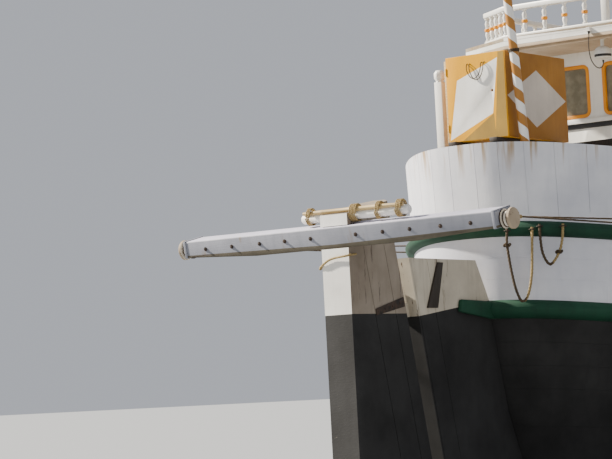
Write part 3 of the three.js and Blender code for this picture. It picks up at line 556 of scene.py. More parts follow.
def painted_timber(name, paint, shade, under, grain, gloss=0.5, chips=0.68, rust=None, rust_foot=None):
    """Oil paint brushed on planks: chalky patches, dirt washed down it, and chips that show old timber.
    grain stretches the brush and wood marks along the planks. Rust runs down from nails above rust_foot."""
    material, tree, shader, place = new_finish(name, roughness=gloss)
    patches = noise(tree, place, 0.55)
    washed = noise(tree, place, 0.07, (1, 1, 9), detail=5)
    tone = mix(tree, ramp(tree, patches, 0.35, 0.7), paint, shade)
    dirty = mix(tree, times(tree, ramp(tree, washed, 0.5, 0.78), 0.55), tone, shade)
    if rust:
        drips = noise(tree, place, 0.085, (1, 1, 14), detail=2.5)
        where = noise(tree, place, 0.8, detail=1)
        amount = times(tree, ramp(tree, drips, 0.62, 0.74), ramp(tree, where, 0.42, 0.62))
        if rust_foot:
            height = add(tree, "SeparateXYZ", {0: place}).outputs["Z"]
            nailed = ramp(tree, drips, 0.55, 0.66)
            amount = times(tree, nailed, ramp(tree, height, rust_foot, rust_foot + 0.3))
        dirty = mix(tree, times(tree, amount, 0.8), dirty, rust)
    brush = noise(tree, place, 0.012, grain, detail=3)
    worn = ramp(tree, noise(tree, place, 0.05, grain, detail=8, rough=0.7), chips, chips + 0.03)
    tree.links.new(mix(tree, worn, dirty, under), shader.inputs["Base Color"])
    set_roughness(tree, shader, patches, gloss * 0.8, gloss * 1.35)
    lower = add(tree, "Math", {0: brush, 1: worn}, operation="SUBTRACT").outputs[0]
    set_bump(tree, shader, lower, 0.0015)
    return material


def bare_timber(name, light, dark, grain, roughness=0.7, weather=None):
    """Oiled or weathered timber: long grain lines and, where it is old, a grey bloom."""
    material, tree, shader, place = new_finish(name, roughness=roughness)
    lines = noise(tree, place, 0.014, grain, detail=6, rough=0.65)
    broad = noise(tree, place, 0.25, detail=3)
    tone = mix(tree, ramp(tree, lines, 0.32, 0.68), light, dark)
    if weather:
        tone = mix(tree, times(tree, ramp(tree, broad, 0.35, 0.7), 0.75), tone, weather)
    tree.links.new(tone, shader.inputs["Base Color"])
    set_bump(tree, shader, lines, 0.002)
    return material


ALONG_HULL = (12, 3, 1)
UPRIGHT = (1, 1, 14)
ACROSS = (1, 14, 1)

hull_white = painted_timber("white oil paint on staves", "#e4e4e8", "#c9cad2", "#8d7f6c", UPRIGHT,
                            gloss=0.55, chips=0.73, rust="#a07a34", rust_foot=3.72)
strake_white = painted_timber("white oil paint on strakes", "#e2e2e7", "#cbccd5", "#8d7f6c", ALONG_HULL,
                              gloss=0.5, chips=0.74)
bottom_black = painted_timber("black bottom paint", "#242322", "#141312", "#4b443c", ALONG_HULL, gloss=0.75,
                              chips=0.7)
wale_green = painted_timber("green oil paint on wales", "#07432b", "#042c1c", "#33483a", ALONG_HULL,
                            gloss=0.75, chips=0.72)
stern_grey = painted_timber("worn grey paint on stern planks", "#cdc3b0", "#a89d8a", "#5e4a38", UPRIGHT,
                            gloss=0.7, chips=0.6, rust="#66503a")
yoke_grey = painted_timber("blue grey paint on beam", "#8e909a", "#72757f", "#6f6a62", ACROSS, gloss=0.6,
                           chips=0.7, rust="#746046")
# A lighter copy of the beam's grey for its top faces: painted light
yoke_top_painted_light = painted_timber("painted light on top of the beam", "#c9c7d6", "#b0afbf", "#8a8274", ACROSS,
                            gloss=0.6, chips=0.7)
oiled_timber = bare_timber("oiled hardwood", "#9a6b40", "#6a4426", ALONG_HULL, roughness=0.55)
deck_timber = bare_timber("scrubbed deck planks", "#a08a6a", "#786449", ALONG_HULL, roughness=0.85,
                          weather="#9c968a")

house_white = painted_timber("white gloss paint on house boards", "#f3f2ec", "#d8d5ca", "#9d8a70", UPRIGHT,
                             gloss=0.4, chips=0.74)
trim_white = painted_timber("white gloss paint on turned trim", "#f4f3ee", "#dcd9cf", "#9d8a70", (1, 1, 4),
                            gloss=0.35, chips=0.73)
ring_orange = painted_timber("orange gloss paint", "#ee9c00", "#d68400", "#7a5426", (1, 1, 4), gloss=0.5,
                             chips=0.74)
soffit_beige = painted_timber("beige paint under the upper deck", "#c3ae92", "#a8937a", "#7d6b55", ACROSS,
                              gloss=0.6, chips=0.72)
# Black for the band under the sills, darker than the wall
sill_black = painted_timber("black band under the sill", "#26231f", "#151312", "#5b5147", ACROSS,
                            gloss=0.5, chips=0.7)
locker_yellow = painted_timber("yellow gloss paint on plywood", "#efae00", "#de9c00", "#8a6a3a", (1, 1, 3),
                               gloss=0.3, chips=0.74)
# Ochre laid on the yellow door where shadow falls on it: painted shadow
locker_painted_shadow = painted_timber("ochre painted shadow on plywood", "#a17c12", "#82640f", "#6d5528", (1, 1, 5),
                              gloss=0.6, chips=0.68)
# Yellow brown for the case's sides: partly their own paint, partly painted shade
locker_tan_and_shade = painted_timber("yellow brown paint and painted shade on plywood", "#a87010", "#8c5a0a", "#6d4a22", (1, 1, 3),
                            gloss=0.6, chips=0.72)
locker_white = painted_timber("white gloss paint on plywood", "#fbfaf5", "#e6e2d8", "#b39b78", (1, 1, 3),
                              gloss=0.35, chips=0.75)
# Stone for the lozenge on the case's side: its white paint darkened as painted shade
locker_lozenge_shade = painted_timber("white lozenge in painted shade on plywood", "#d3c8ba", "#bbb0a3", "#a08c70", (1, 1, 3),
                              gloss=0.5, chips=0.72)
rudder_side = painted_timber("weathered grey brown paint on rudder planks", "#9c9081", "#7b6e5f", "#4c3d30",
                             UPRIGHT, gloss=0.75, chips=0.62, rust="#5f4330")
# White for the head pole and for the rudder's aft face, where it is also painted sunlight that makes that
# face lighter than the sides
rudder_white_and_painted_light = painted_timber("white paint and painted sunlight on the rudder's edge", "#f3f1ea", "#d9d6cf", "#8a8174", UPRIGHT,
                              gloss=0.5, chips=0.68)
drum_cream = painted_timber("cream paint on turned drums", "#e3dccd", "#c4baa9", "#7a6a55", (4, 1, 1),
                            gloss=0.6, chips=0.66)
drum_tan = painted_timber("tan paint on the drums' caps", "#ab9a83", "#8a7860", "#5f4a36", (1, 1, 1),
                          gloss=0.65, chips=0.62)
# Worn olive for the beam's foot, darkened as painted shade under the beam
yoke_foot_olive_and_shade = painted_timber("olive paint and painted shade on the beam's foot", "#5e5747", "#474034", "#3a3026", ACROSS,
                             gloss=0.7, chips=0.6)
# Also the painted shade of the bearers and thwart under the locker
tarred_and_shaded_timber = bare_timber("tarred timber and painted shade", "#3a3026", "#241d17", UPRIGHT, roughness=0.7)
spar_timber = bare_timber("oiled pole timber", "#a9784a", "#7a5230", (16, 1, 8), roughness=0.5)
cane_timber = bare_timber("dry cane", "#cdb684", "#a88d5c", ACROSS, roughness=0.6)
varnished_timber = bare_timber("varnished teak", "#8e5a30", "#5e3618", (1, 1, 1), roughness=0.25)


def plain_finish(name, low, high, size, roughness, metallic=0.0, bump=0.0008, stretch=(1, 1, 1)):
    """A finish whose colour and sheen wander between two tones over patches of a real size."""
    material, tree, shader, place = new_finish(name, roughness, metallic)
    patches = noise(tree, place, size, stretch, detail=6)
    tree.links.new(mix(tree, ramp(tree, patches, 0.35, 0.65), low, high), shader.inputs["Base Color"])
    set_roughness(tree, shader, patches, roughness * 0.75, roughness * 1.3)
    set_bump(tree, shader, patches, bump)
    return material


# The patches are 2 to 5 cm across on metal and rubber, about 1 cm on rope and 30 cm on canvas
rusty_iron = plain_finish("rusted wrought iron", "#2e2a27", "#55453a", 0.04, 0.75, metallic=0.4, bump=0.002)
galvanised = plain_finish("galvanised steel", "#8f9290", "#b4b6b2", 0.03, 0.42, metallic=1.0, bump=0.0004)
bronze = plain_finish("cast manganese bronze", "#8a6a30", "#b58f45", 0.05, 0.34, metallic=1.0, bump=0.001)
wire_steel = plain_finish("greased steel wire", "#4d4d4a", "#77756e", 0.02, 0.5, metallic=0.8, bump=0.002,
                          stretch=(1, 1, 3))
manila = plain_finish("sun-bleached manila", "#b39d6c", "#80693f", 0.012, 0.95, bump=0.002)
# Also the painted shade on the swags' after runs
tarred_rope_and_shade = plain_finish("old tarred rope and painted rope shade", "#5b4a33", "#3a2e20", 0.012, 0.9, bump=0.002)
sail_canvas = plain_finish("unbleached cotton canvas", "#d9ceb6", "#bfb196", 0.3, 0.95, bump=0.0015)
lamp_enamel = plain_finish("white enamelled steel", "#efeee8", "#d9d6cc", 0.05, 0.35)
cable_rubber = plain_finish("black rubber sheath", "#1b1a19", "#2c2a28", 0.02, 0.6)
brass = plain_finish("polished brass", "#b08d3f", "#c9a552", 0.03, 0.25, metallic=1.0, bump=0.0003)


def window_glass():
    """Thin olive panes: they mirror the sky; their olive is painted shade of the dark house behind them, and
    with their dust it hides most of the house.
    """
    material, tree, shader, place = new_finish("olive glass with painted shade of the house", roughness=0.06)
    shader.inputs["Transmission Weight"].default_value = 0.15
    dust = noise(tree, place, 0.12, detail=5)
    tree.links.new(mix(tree, ramp(tree, dust, 0.4, 0.75), "#7d775f", "#a09980"), shader.inputs["Base Color"])
    set_roughness(tree, shader, dust, 0.03, 0.22)
    return material


def striped_paint(name, foot, rake, repeat, first, second):
    """Two colours wound up a leaning staff: one pair of bands rises by repeat metres in a turn."""
    material, tree, shader, place = new_finish(name, roughness=0.4)
    upright = add(tree, "Mapping", {"Vector": place, "Location": foot, "Rotation": (0, -rake, 0)},
                  vector_type="TEXTURE")
    axes = add(tree, "SeparateXYZ", {0: upright.outputs["Vector"]})
    angle = add(tree, "Math", {0: axes.outputs["Y"], 1: axes.outputs["X"]}, operation="ARCTAN2").outputs[0]
    turned_by = times(tree, angle, 1 / (2 * math.pi))
    climbed = times(tree, axes.outputs["Z"], 1 / repeat)
    wound = add(tree, "Math", {0: climbed, 1: turned_by}, operation="ADD").outputs[0]
    phase = add(tree, "Math", {0: wound}, operation="FRACT").outputs[0]
    band = add(tree, "Math", {0: phase, 1: 0.5}, operation="GREATER_THAN").outputs[0]
    dirt = noise(tree, place, 0.06, (1, 1, 3), detail=5)
    clean = mix(tree, band, first, second)
    tree.links.new(mix(tree, times(tree, ramp(tree, dirt, 0.55, 0.8), 0.5), clean, "#8d7558"),
                   shader.inputs["Base Color"])
    set_bump(tree, shader, dirt, 0.0008)
    return material


pane_glass = window_glass()


def belongs(piece, material, body="hull", stands_for=()):
    """Gives a finished piece its material and body, and hides the CAD nodes that it stands for."""
    if material:
        piece.data.materials.clear()
        piece.data.materials.append(material)
    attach(piece, body)
    if stands_for:
        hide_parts(*stands_for)
    return piece


def timber(node, name, edge, finish):
    """Stands a squared timber with softened edges in for a CAD node of the hull."""
    return belongs(soften(flat_copy(node, name), width=edge), finish, stands_for=[node])


# Free ropes: two swags that hang on the starboard upper wale, on the turn of the stern. Each is dark aft of
# its lowest point as painted shade, and manila forward of it

SWAG_THICK = 0.03
SWAG_ROUTES = {
    "aft": [(-10.8177, -0.4705, 3.215), (-10.8218, -0.4621, 3.062), (-10.8106, -0.4851, 2.823),
            (-10.7949, -0.5177, 2.628), (-10.7729, -0.5631, 2.51), (-10.7458, -0.6191, 2.56),
            (-10.7251, -0.6618, 2.764), (-10.7138, -0.6772, 3.047), (-10.708, -0.6843, 3.215)],
    "fore": [(-10.6615, -0.7415, 3.24), (-10.6615, -0.7415, 3.113), (-10.6498, -0.7559, 2.949),
             (-10.6092, -0.8057, 2.848), (-10.5542, -0.8733, 2.95), (-10.5284, -0.905, 3.082),
             (-10.515, -0.9167, 3.233)],
}
SWAG_KNOTS = {"aft": (-10.821, -0.463, 3.055), "fore": (-10.551, -0.877, 2.965)}
KNOT_SIZE = 0.012
KNOT_THICK = 0.02
STAPLE_THICK = 0.012
STAPLE_BEND = (         # along the wale, out from it
    (0.026, -0.03), (0.026, 0.012), (0.013, 0.024), (-0.013, 0.024), (-0.026, 0.012), (-0.026, -0.03))
STAPLE_DROP = 0.022     # under the end of its rope
staples = []
for place_name, route in SWAG_ROUTES.items():
    line = smooth_line(route, SWAG_THICK * 0.4)
    swag = belongs(rope(f"swag_rope_{place_name}", line, SWAG_THICK), tarred_rope_and_shade,
                   stands_for=[f"rope_swag_{place_name}"])
    lowest = min(line, key=lambda place: place.z)
    # Dark colour on the run aft of the lowest point is painted shade; forward of it the rope is manila
    paint(swag, manila, lambda centre, normal, turn=lowest.x: centre.x > turn + 0.01)
    tie = knot(f"swag_knot_{place_name}", SWAG_KNOTS[place_name], KNOT_SIZE, KNOT_THICK)
    belongs(tie, tarred_rope_and_shade)
    along = (line[-1] - line[0]) * Vector((1, 1, 0))
    along.normalize()
    out = Vector((along.y, -along.x, 0))
    for top in (line[0], line[-1]):
        places = [top + along * a + out * b - UP * STAPLE_DROP for a, b in STAPLE_BEND]
        staples.append(rope("staple", smooth_line(places, 0.006), STAPLE_THICK, relief=0))
belongs(joined("swag_staples", staples), rusty_iron)

# Lead of the stern lamp: from its gland in the upper deck's edge, down and under to the socket
CABLE_THICK = 0.012
CABLE_ROUTE = [(-6.875, 0.775, 5.6397), (-6.875, 0.775, 5.6), (-6.876, 0.783, 5.52), (-6.867, 0.788, 5.42),
               (-6.843, 0.784, 5.325), (-6.79, 0.771, 5.258), (-6.725, 0.755, 5.231), (-6.672, 0.743, 5.25),
               (-6.65, 0.738, 5.29), (-6.65, 0.738, 5.3267)]
GLAND_LENGTH = 0.035
GLAND_PROFILE = [(0, 0.017), (0.3, 0.017), (0.35, 0.013), (1, 0.0075)]
SLEEVE_LENGTH = 0.03
SLEEVE_PROFILE = [(0, 0.0125), (0.3, 0.012), (1, 0.0075)]
cable_line = smooth_line(CABLE_ROUTE, CABLE_THICK / 2)
cable = belongs(rope("stern_lamp_lead", cable_line, CABLE_THICK, relief=0), cable_rubber,
                stands_for=["lamp_cable"])
for name, at, length, profile in (("lamp_lead_gland", cable_line[0], GLAND_LENGTH, GLAND_PROFILE),
                                  ("lamp_lead_sleeve", cable_line[-1], SLEEVE_LENGTH, SLEEVE_PROFILE)):
    fitting = turned(name, at, at - UP * length, profile, sides=16)
    belongs(fitting, cable_rubber)

# Stern lamp: an enamelled shade with a dark band, hung under the upper deck
LAMP_RADII = (          # height above its socket's foot, radius
    (0, 0.014), (0.018, 0.014), (0.0185, 0.088), (0.03, 0.096), (0.034, 0.096), (0.063, 0.096),
    (0.113, 0.09), (0.13, 0.08), (0.146, 0.062), (0.154, 0.04), (0.158, 0.02), (0.2407, 0.02),
    (0.2408, 0.044), (0.245, 0.048), (0.2527, 0.048))
BAND_FOOT = 0.034       # of the dark band round the shade, above the socket's foot
BAND_HEAD = 0.063
lamp_low, lamp_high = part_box("stern_lamp")
lamp_middle = (lamp_low + lamp_high) / 2
lamp_tall = lamp_high.z - lamp_low.z
lamp = turned("stern_lamp_shade", (lamp_middle.x, lamp_middle.y, lamp_low.z),
              (lamp_middle.x, lamp_middle.y, lamp_high.z),
              [(min(1, height / lamp_tall), radius) for height, radius in LAMP_RADII], sides=40)
belongs(lamp, lamp_enamel, stands_for=["stern_lamp"])
paint(lamp, cable_rubber, lambda centre, normal: BAND_FOOT < centre.z - lamp_low.z < BAND_HEAD)

# Hull planking

STERN_TURN_END = -10.2      # forward of this the stern has straightened enough for evenly spaced staves
STAVE_WIDTH = 0.22


def staved_bulwark(node, name):
    """Upright staves side by side, seamed inside and out."""
    piece = skin_copy(node, name)
    edit(piece, "DESELECT")
    select_edges(piece, lambda edge: steep(edge)
                 and max(corner.co.x for corner in edge.verts) < STERN_TURN_END)
    bpy.ops.mesh.mark_seam()
    low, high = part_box(node)
    first = max(low.x + STAVE_WIDTH, STERN_TURN_END + STAVE_WIDTH)
    score(piece, [((x, 0, 0), (1, 0, 0)) for x in spaced(first, high.x - STAVE_WIDTH / 2, STAVE_WIDTH)])
    smooth_surface(piece, 2 if low.x < STERN_TURN_END else 1)
    cut_seams(piece, width=0.005, depth=0.006)
    belongs(piece, hull_white, stands_for=[node])


def straked_hull(node, name, cuts, material):
    """Long strakes that follow the sheer from stern to stem, with a seam above each."""
    piece = skin_copy(node, name)
    after_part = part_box("keel")[0].x * 0.5

    def on_one_side(edge):
        return edge.verts[0].co.y * edge.verts[1].co.y > 0

    def at_sternpost(edge):
        return all(corner.co.x < after_part and abs(corner.co.y) < 0.2 for corner in edge.verts)

    edit(piece, "DESELECT")
    select_edges(piece, lambda edge: at_sternpost(edge) and on_one_side(edge) and steep(edge, 0.5))
    bpy.ops.mesh.loop_multi_select(ring=True)
    bpy.ops.mesh.subdivide(number_cuts=cuts)
    select_edges(piece, lambda edge: not steep(edge, 0.16) and on_one_side(edge) and edge.calc_length() < 3)
    bpy.ops.mesh.mark_seam()
    end_edit()
    smooth_surface(piece, 2)
    cut_seams(piece, width=0.003, depth=0.003)
    belongs(piece, material, stands_for=[node])


staved_bulwark("stern_bulwark", "stern_staves")
for side in ("port", "starboard"):
    staved_bulwark(f"waist_bulwark_{side}", f"waist_staves_{side}")
    staved_bulwark(f"bow_bulwark_{side}", f"bow_staves_{side}")
straked_hull("hull_topsides", "topside_strakes", 2, strake_white)
straked_hull("hull_bottom", "bottom_strakes", 3, bottom_black)

for node, name in (("upper_wale", "upper_rubbing_wale"), ("lower_wale_port", "lower_rubbing_wale_port"),
                   ("lower_wale_starboard", "lower_rubbing_wale_starboard")):
    wale = smooth(smooth_surface(skin_copy(node, name)), 45)
    belongs(wale, wale_green, stands_for=[node])

# Steering gear, drawn in a frame that leans aft with the rudder's axis

rudder_joint = next(joint for joint in frame["joints"] if joint["name"] == "rudder_steer")
RUDDER_AXIS = Vector(rudder_joint["axis"])
RUDDER_RAKE = math.asin(-RUDDER_AXIS.x)
leaning = Matrix.Translation(Vector(rudder_joint["pos_m"])) @ Matrix.Rotation(-RUDDER_RAKE, 4, "Y")
rudder_frame = leaning.inverted()
level_aft = leaning.to_3x3() @ Vector((-1, 0, 0))


def lean(x, y, z):
    """A place given on the rudder's own axes: x from its axis, y to port, z up the axis."""
    return leaning @ Vector((x, y, z))


BLADE_HALF = 0.167
BLADE_TAPER = 0.02              # how much each side closes in for each metre behind the strap's start
BLADE_SEAMS = (0.317, 0.628)    # seams between its planks, behind the axis
PAINT_LINE = 2.42               # height where the black bottom paint starts at the stern

blade = flat_copy("rudder_blade", "rudder_planks")
score(blade, [(lean(-back, 0, 0), level_aft) for back in BLADE_SEAMS], faces_sideways)
score(blade, [((0, 0, PAINT_LINE), UP)], seams=False)
cut_seams(blade, width=0.007, depth=0.01)
belongs(blade, rudder_side, "rudder", ["rudder_blade"])
# The blade's aft face is white, much lighter than its grey sides: white paint, brightened as painted
# sunlight on the face turned to the sun
paint(blade, rudder_white_and_painted_light, lambda centre, normal: normal.dot(level_aft) > 0.8 and abs(normal.y) < 0.4
      and (rudder_frame @ centre).x < -BLADE_SEAMS[-1] - 0.03)
paint(blade, bottom_black, lambda centre, normal: centre.z < PAINT_LINE)

# Iron straps that hold the rudder's pins: height up the axis of each
STRAP_HEIGHTS = (-0.42, -2.35, -4.25)
STRAP_DEPTH = 0.09
STRAP_START = 0.15
STRAP_OUTLINE = (               # behind the axis, up from the strap's foot
    (0.17, 0), (0.62, 0.015), (0.62, STRAP_DEPTH - 0.015), (0.17, STRAP_DEPTH))
NAIL_BACKS = (0.24, 0.36, 0.48, 0.59)
NAIL_PROFILE = [(0, 0.014), (0.6, 0.012), (1, 0.004)]


def beside_blade(back, side, height, out):
    """A place out from the blade's side."""
    return lean(-back, side * (BLADE_HALF + out - BLADE_TAPER * (back - STRAP_START)), height)


strap_pieces = []
for level in STRAP_HEIGHTS:
    for side in (-1, 1):
        corners = [beside_blade(back, side, level + rise, 0.001) for back, rise in STRAP_OUTLINE]
        strap_pieces.append(prism("strap", corners, (0, side * 0.01, 0), edge=0.002))
        for back in NAIL_BACKS:
            at = beside_blade(back, side, level + STRAP_DEPTH / 2, 0.008)
            head = at + Vector((0, side * 0.012, 0))
            strap_pieces.append(turned("nail", at, head, NAIL_PROFILE, sides=10))
belongs(joined("rudder_straps", strap_pieces), rusty_iron, "rudder")

# Yoke: a painted beam with bolts through it, iron bands at its ends, its top faces painted lighter as
# painted light, and a bare lower edge in worn olive, darkened as painted shade under the beam
YOKE_AFT = 0.853
YOKE_FORE = 0.583
YOKE_HALF = 1.745
YOKE_TAPER_START = 0.9          # the beam is as deep as at its middle up to here, and tapers from here on
YOKE_END_MIDDLE = 0.392
YOKE_END_HALF = 0.076
# The strip along the beam's foot is worn olive, darkened as painted shade under the beam
STRIP_TOP = 0.325               # upper edge of the bare strip, where the taper starts and at the beam's ends
STRIP_END_TOP = 0.338
BOLT_LINE = 0.384
BOLT_STATIONS = (0.253, 0.549, 0.842, 1.17, 1.485)
BAND_WIDTH = 0.03
BAND_THICK = 0.004

yoke = flat_copy("rudder_yoke", "yoke_beam")
score(yoke, [((0, 0, 0), (0, 1, 0))], seams=False)
strip_rise = (STRIP_END_TOP - STRIP_TOP) / (YOKE_HALF - YOKE_TAPER_START)
for side in (-1, 1):
    start = lean(0, side * YOKE_TAPER_START, STRIP_TOP)
    along = lean(0, side * YOKE_HALF, STRIP_END_TOP) - start
    score(yoke, [(start, along.cross(level_aft).normalized())],
          lambda centre, normal, side=side: side * centre.y > 0.01, seams=False)
soften(yoke, width=0.012, segments=3)
belongs(yoke, yoke_grey, "rudder", ["rudder_yoke"])


def in_strip(centre, normal):
    inward = rudder_frame @ centre
    return inward.z < STRIP_TOP + (abs(inward.y) - YOKE_TAPER_START) * strip_rise - 0.002


# Olive strip along the foot: worn paint, darkened as painted shade
paint(yoke, yoke_foot_olive_and_shade, in_strip)
# Top faces painted lighter than the sides: painted light
paint(yoke, yoke_top_painted_light, lambda centre, normal: normal.dot(RUDDER_AXIS) > 0.75)


def bolt(at, out, radius):
    """A six-sided bolt head that stands out from a place."""
    return turned("bolt", at, at + out, [(0, radius), (0.7, radius), (1, 0.007)], sides=6)


bolt_pieces = []
for y in [side * station for station in BOLT_STATIONS for side in (-1, 1)]:
    for face, outward in ((-YOKE_AFT, level_aft), (-YOKE_FORE, -level_aft)):
        seat = lean(face, y, BOLT_LINE)
        bolt_pieces.append(turned("washer", seat, seat + outward * 0.004, [(0, 0.02), (1, 0.019)], sides=16))
        bolt_pieces.append(bolt(seat, outward * 0.016, 0.012))
band_pieces = []
for side in (-1, 1):
    inner = side * (YOKE_HALF - BAND_WIDTH - BAND_THICK)
    reach = YOKE_END_HALF + 0.003
    for x0, z0, x1, z1 in ((-YOKE_AFT - BAND_THICK, -reach, -YOKE_AFT, reach),
                           (-YOKE_FORE, -reach, -YOKE_FORE + BAND_THICK, reach),
                           (-YOKE_AFT, reach - 0.002, -YOKE_FORE, reach + 0.003),
                           (-YOKE_AFT, -reach - 0.003, -YOKE_FORE, 0.002 - reach)):
        corners = [lean(x, inner, YOKE_END_MIDDLE + z) for x, z in ((x0, z0), (x1, z0), (x1, z1), (x0, z1))]
        band_pieces.append(prism("band", corners, (0, side * BAND_WIDTH, 0), edge=0.0015))
belongs(joined("yoke_bolts", bolt_pieces), rusty_iron, "rudder")
belongs(joined("yoke_bands", band_pieces), yoke_grey, "rudder")

# Drums on the yoke's ends, each with two iron straps that the steering tackle is shackled to
DRUM_BACK = (YOKE_AFT + YOKE_FORE) / 2
DRUM_HEIGHT = 0.375
DRUM_WAIST = 0.07
CAP_START = 0.079               # where a drum's outer cap starts, out from the beam's end
FLANGE_END = 0.017
STRAP_OUTS = (0.03, 0.065)      # places of the straps, out from the beam's end
STRAP_PROFILE = [(0, DRUM_WAIST + 0.004), (0.2, DRUM_WAIST + 0.007), (0.8, DRUM_WAIST + 0.007),
                 (1, DRUM_WAIST + 0.004)]
ROPE_THICK = 0.02
FALL_PARTS = 12
EYE_RADIUS = 0.015
EYE_THICK = 0.009
WALL_PLACE = Vector((-9.3, 1.572, 3.2))                 # on the bulwark's outer face, just above the wale
WALL_TURN = math.radians(24.7)                          # how far that face turns in towards the stern
SHEAVE_OUT = 0.07
SHEAVE_RADIUS = 0.035
SHEAVE_PROFILE = [(0, 0.041), (0.15, 0.041), (0.4, 0.027), (0.6, 0.027), (0.85, 0.041), (1, 0.041)]
PIN_PROFILE = [(0, 0.01), (0.97, 0.01), (1, 0.007)]
PLATE_CORNERS = ((-0.07, -0.05), (0.07, -0.05), (0.07, 0.05), (-0.07, 0.05))
CHEEK_CORNERS = ((-0.055, -0.02), (-0.03, -0.05), (0.03, -0.05), (0.055, -0.02), (0.055, 0.02), (0.03, 0.05),
                 (-0.03, 0.05), (-0.055, 0.02))
CHEEK_OUTS = (-0.028, 0.02)     # of each cheek's inner face, from the sheave's middle
HOLE_ALONG = 0.19               # of the hole in the bulwark, forward of the sheave

for side, suffix in ((1, "port"), (-1, "starboard")):
    drum = smooth(skin_copy(f"yoke_drum_{suffix}", f"yoke_roller_{suffix}"), 40)
    belongs(drum, drum_cream, "rudder", [f"yoke_drum_{suffix}"])
    paint(drum, drum_tan, lambda centre, normal: abs(centre.y) > YOKE_HALF + CAP_START)
    paint(drum, rusty_iron, lambda centre, normal: abs(centre.y) < YOKE_HALF + FLANGE_END)
    wall_along = Vector((math.cos(WALL_TURN), side * math.sin(WALL_TURN), 0))
    wall_out = Vector((-math.sin(WALL_TURN), side * math.cos(WALL_TURN), 0))
    wall_at = Vector((WALL_PLACE.x, side * WALL_PLACE.y, WALL_PLACE.z))
    sheave_at = wall_at + wall_out * SHEAVE_OUT

    # Two falls, each from an eye on its drum strap to the sheave
    irons = []
    for i, out in enumerate(STRAP_OUTS):
        strap_at = lean(-DRUM_BACK, side * (YOKE_HALF + out), DRUM_HEIGHT)
        half_width = Vector((0, 0.005, 0))
        irons.append(turned("drum_strap", strap_at - half_width, strap_at + half_width, STRAP_PROFILE,
                            sides=32))
        eye_at = strap_at - level_aft * (DRUM_WAIST + 0.005 + EYE_RADIUS)
        irons.append(ring("drum_eye", eye_at, (0, 1, 0), EYE_RADIUS, EYE_THICK))
        start = eye_at - level_aft * 0.004
        end = sheave_at - wall_along * 0.02 + UP * (SHEAVE_RADIUS * (1 - 2 * i))
        run = [start.lerp(end, share / FALL_PARTS) for share in range(FALL_PARTS + 1)]
        fall = rope(f"steering_rope_{suffix}_{i + 1}", smooth_line(run, 0.02), ROPE_THICK)
        fall.data.materials.append(tarred_rope_and_shade)
        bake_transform(fall)
        way = (end - start).normalized()
        across = way.cross(UP).normalized()
        whipping = winding(f"steering_rope_whipping_{suffix}_{i + 1}", start + way * 0.07, across * 0.014,
                           across.cross(way) * 0.014, way * 0.008, 5, 0.008)
        belongs(whipping, manila, "rudder")
    belongs(joined(f"drum_irons_{suffix}", irons), rusty_iron, "rudder")

    # Sheave on the bulwark: a wheel between two cheeks on a bolted plate
    plate = [wall_at + wall_along * along + UP * rise for along, rise in PLATE_CORNERS]
    irons = [prism("plate", plate, wall_out * 0.01, edge=0.002)]
    for along in (-0.05, 0.05):
        irons.append(bolt(wall_at + wall_along * along + wall_out * 0.009, wall_out * 0.012, 0.011))
    irons.append(turned("pin", wall_at, sheave_at + wall_out * 0.036, PIN_PROFILE, sides=12))
    for out in CHEEK_OUTS:
        cheek_at = sheave_at + wall_out * out
        cheek = [cheek_at + wall_along * along + UP * rise for along, rise in CHEEK_CORNERS]
        irons.append(prism("cheek", cheek, wall_out * 0.008, edge=0.002))
    irons.append(turned("sheave", sheave_at - wall_out * 0.018, sheave_at + wall_out * 0.018, SHEAVE_PROFILE,
                        sides=28))

    # The rope goes on from the sheave through a bushed hole in the bulwark, towards the wheel inside
    hole_at = wall_at + wall_along * HOLE_ALONG
    irons.append(ring("bush", hole_at + wall_out * 0.002, wall_out, 0.02, 0.01))
    lead = [sheave_at + wall_along * 0.01 + UP * SHEAVE_RADIUS,
            sheave_at + wall_along * 0.06 + UP * 0.03,
            hole_at + wall_out * 0.03 - wall_along * 0.02 + UP * 0.004,
            hole_at - wall_out * 0.02]
    belongs(joined(f"steering_block_{suffix}", irons), rusty_iron)
    lead_rope = rope(f"steering_rope_lead_{suffix}", smooth_line(lead, 0.01), ROPE_THICK)
    belongs(lead_rope, tarred_rope_and_shade)

# Pole across the rudder head, with a cane lashed along it
POLE_BACK = 0.706
POLE_HEIGHT = 0.545
POLE_RADIUS = 0.045
POLE_PROFILE = [(0, 0.036), (0.008, 0.044), (0.3, 0.045), (0.32, 0.043), (0.7, 0.045), (0.72, 0.043),
                (0.99, 0.044), (1, 0.036)]
CANE_BACK = POLE_BACK + 0.03
CANE_PROFILE = [(0, 0.014), (0.2, 0.02), (0.21, 0.022), (0.22, 0.02), (0.5, 0.02), (0.51, 0.022),
                (0.52, 0.02), (0.8, 0.02), (0.81, 0.022), (0.82, 0.02), (1, 0.016)]
LASHING_STATIONS = ((-0.7, 4), (-0.47, 3), (-0.2, 5), (0.3, 3))         # across the boat, turns
pole = turned("head_pole", lean(-POLE_BACK, -0.78, POLE_HEIGHT), lean(-POLE_BACK, 0.4, POLE_HEIGHT),
              POLE_PROFILE, sides=20)
belongs(pole, rudder_white_and_painted_light, "rudder", ["rudder_head_pole"])
cane_height = POLE_HEIGHT + (POLE_RADIUS + 0.02) * 0.85
cane = turned("head_cane", lean(-CANE_BACK, -0.74, cane_height), lean(-CANE_BACK, 0.37, cane_height),
              CANE_PROFILE, sides=14)
belongs(cane, cane_timber, "rudder")
for i, (station, turns) in enumerate(LASHING_STATIONS):
    wrap = winding(f"pole_lashing_{i + 1}", lean(-POLE_BACK - 0.012, station, POLE_HEIGHT + 0.02),
                   level_aft * 0.062, RUDDER_AXIS * 0.076, (0, 0.016, 0), turns, 0.014)
    belongs(wrap, manila, "rudder")

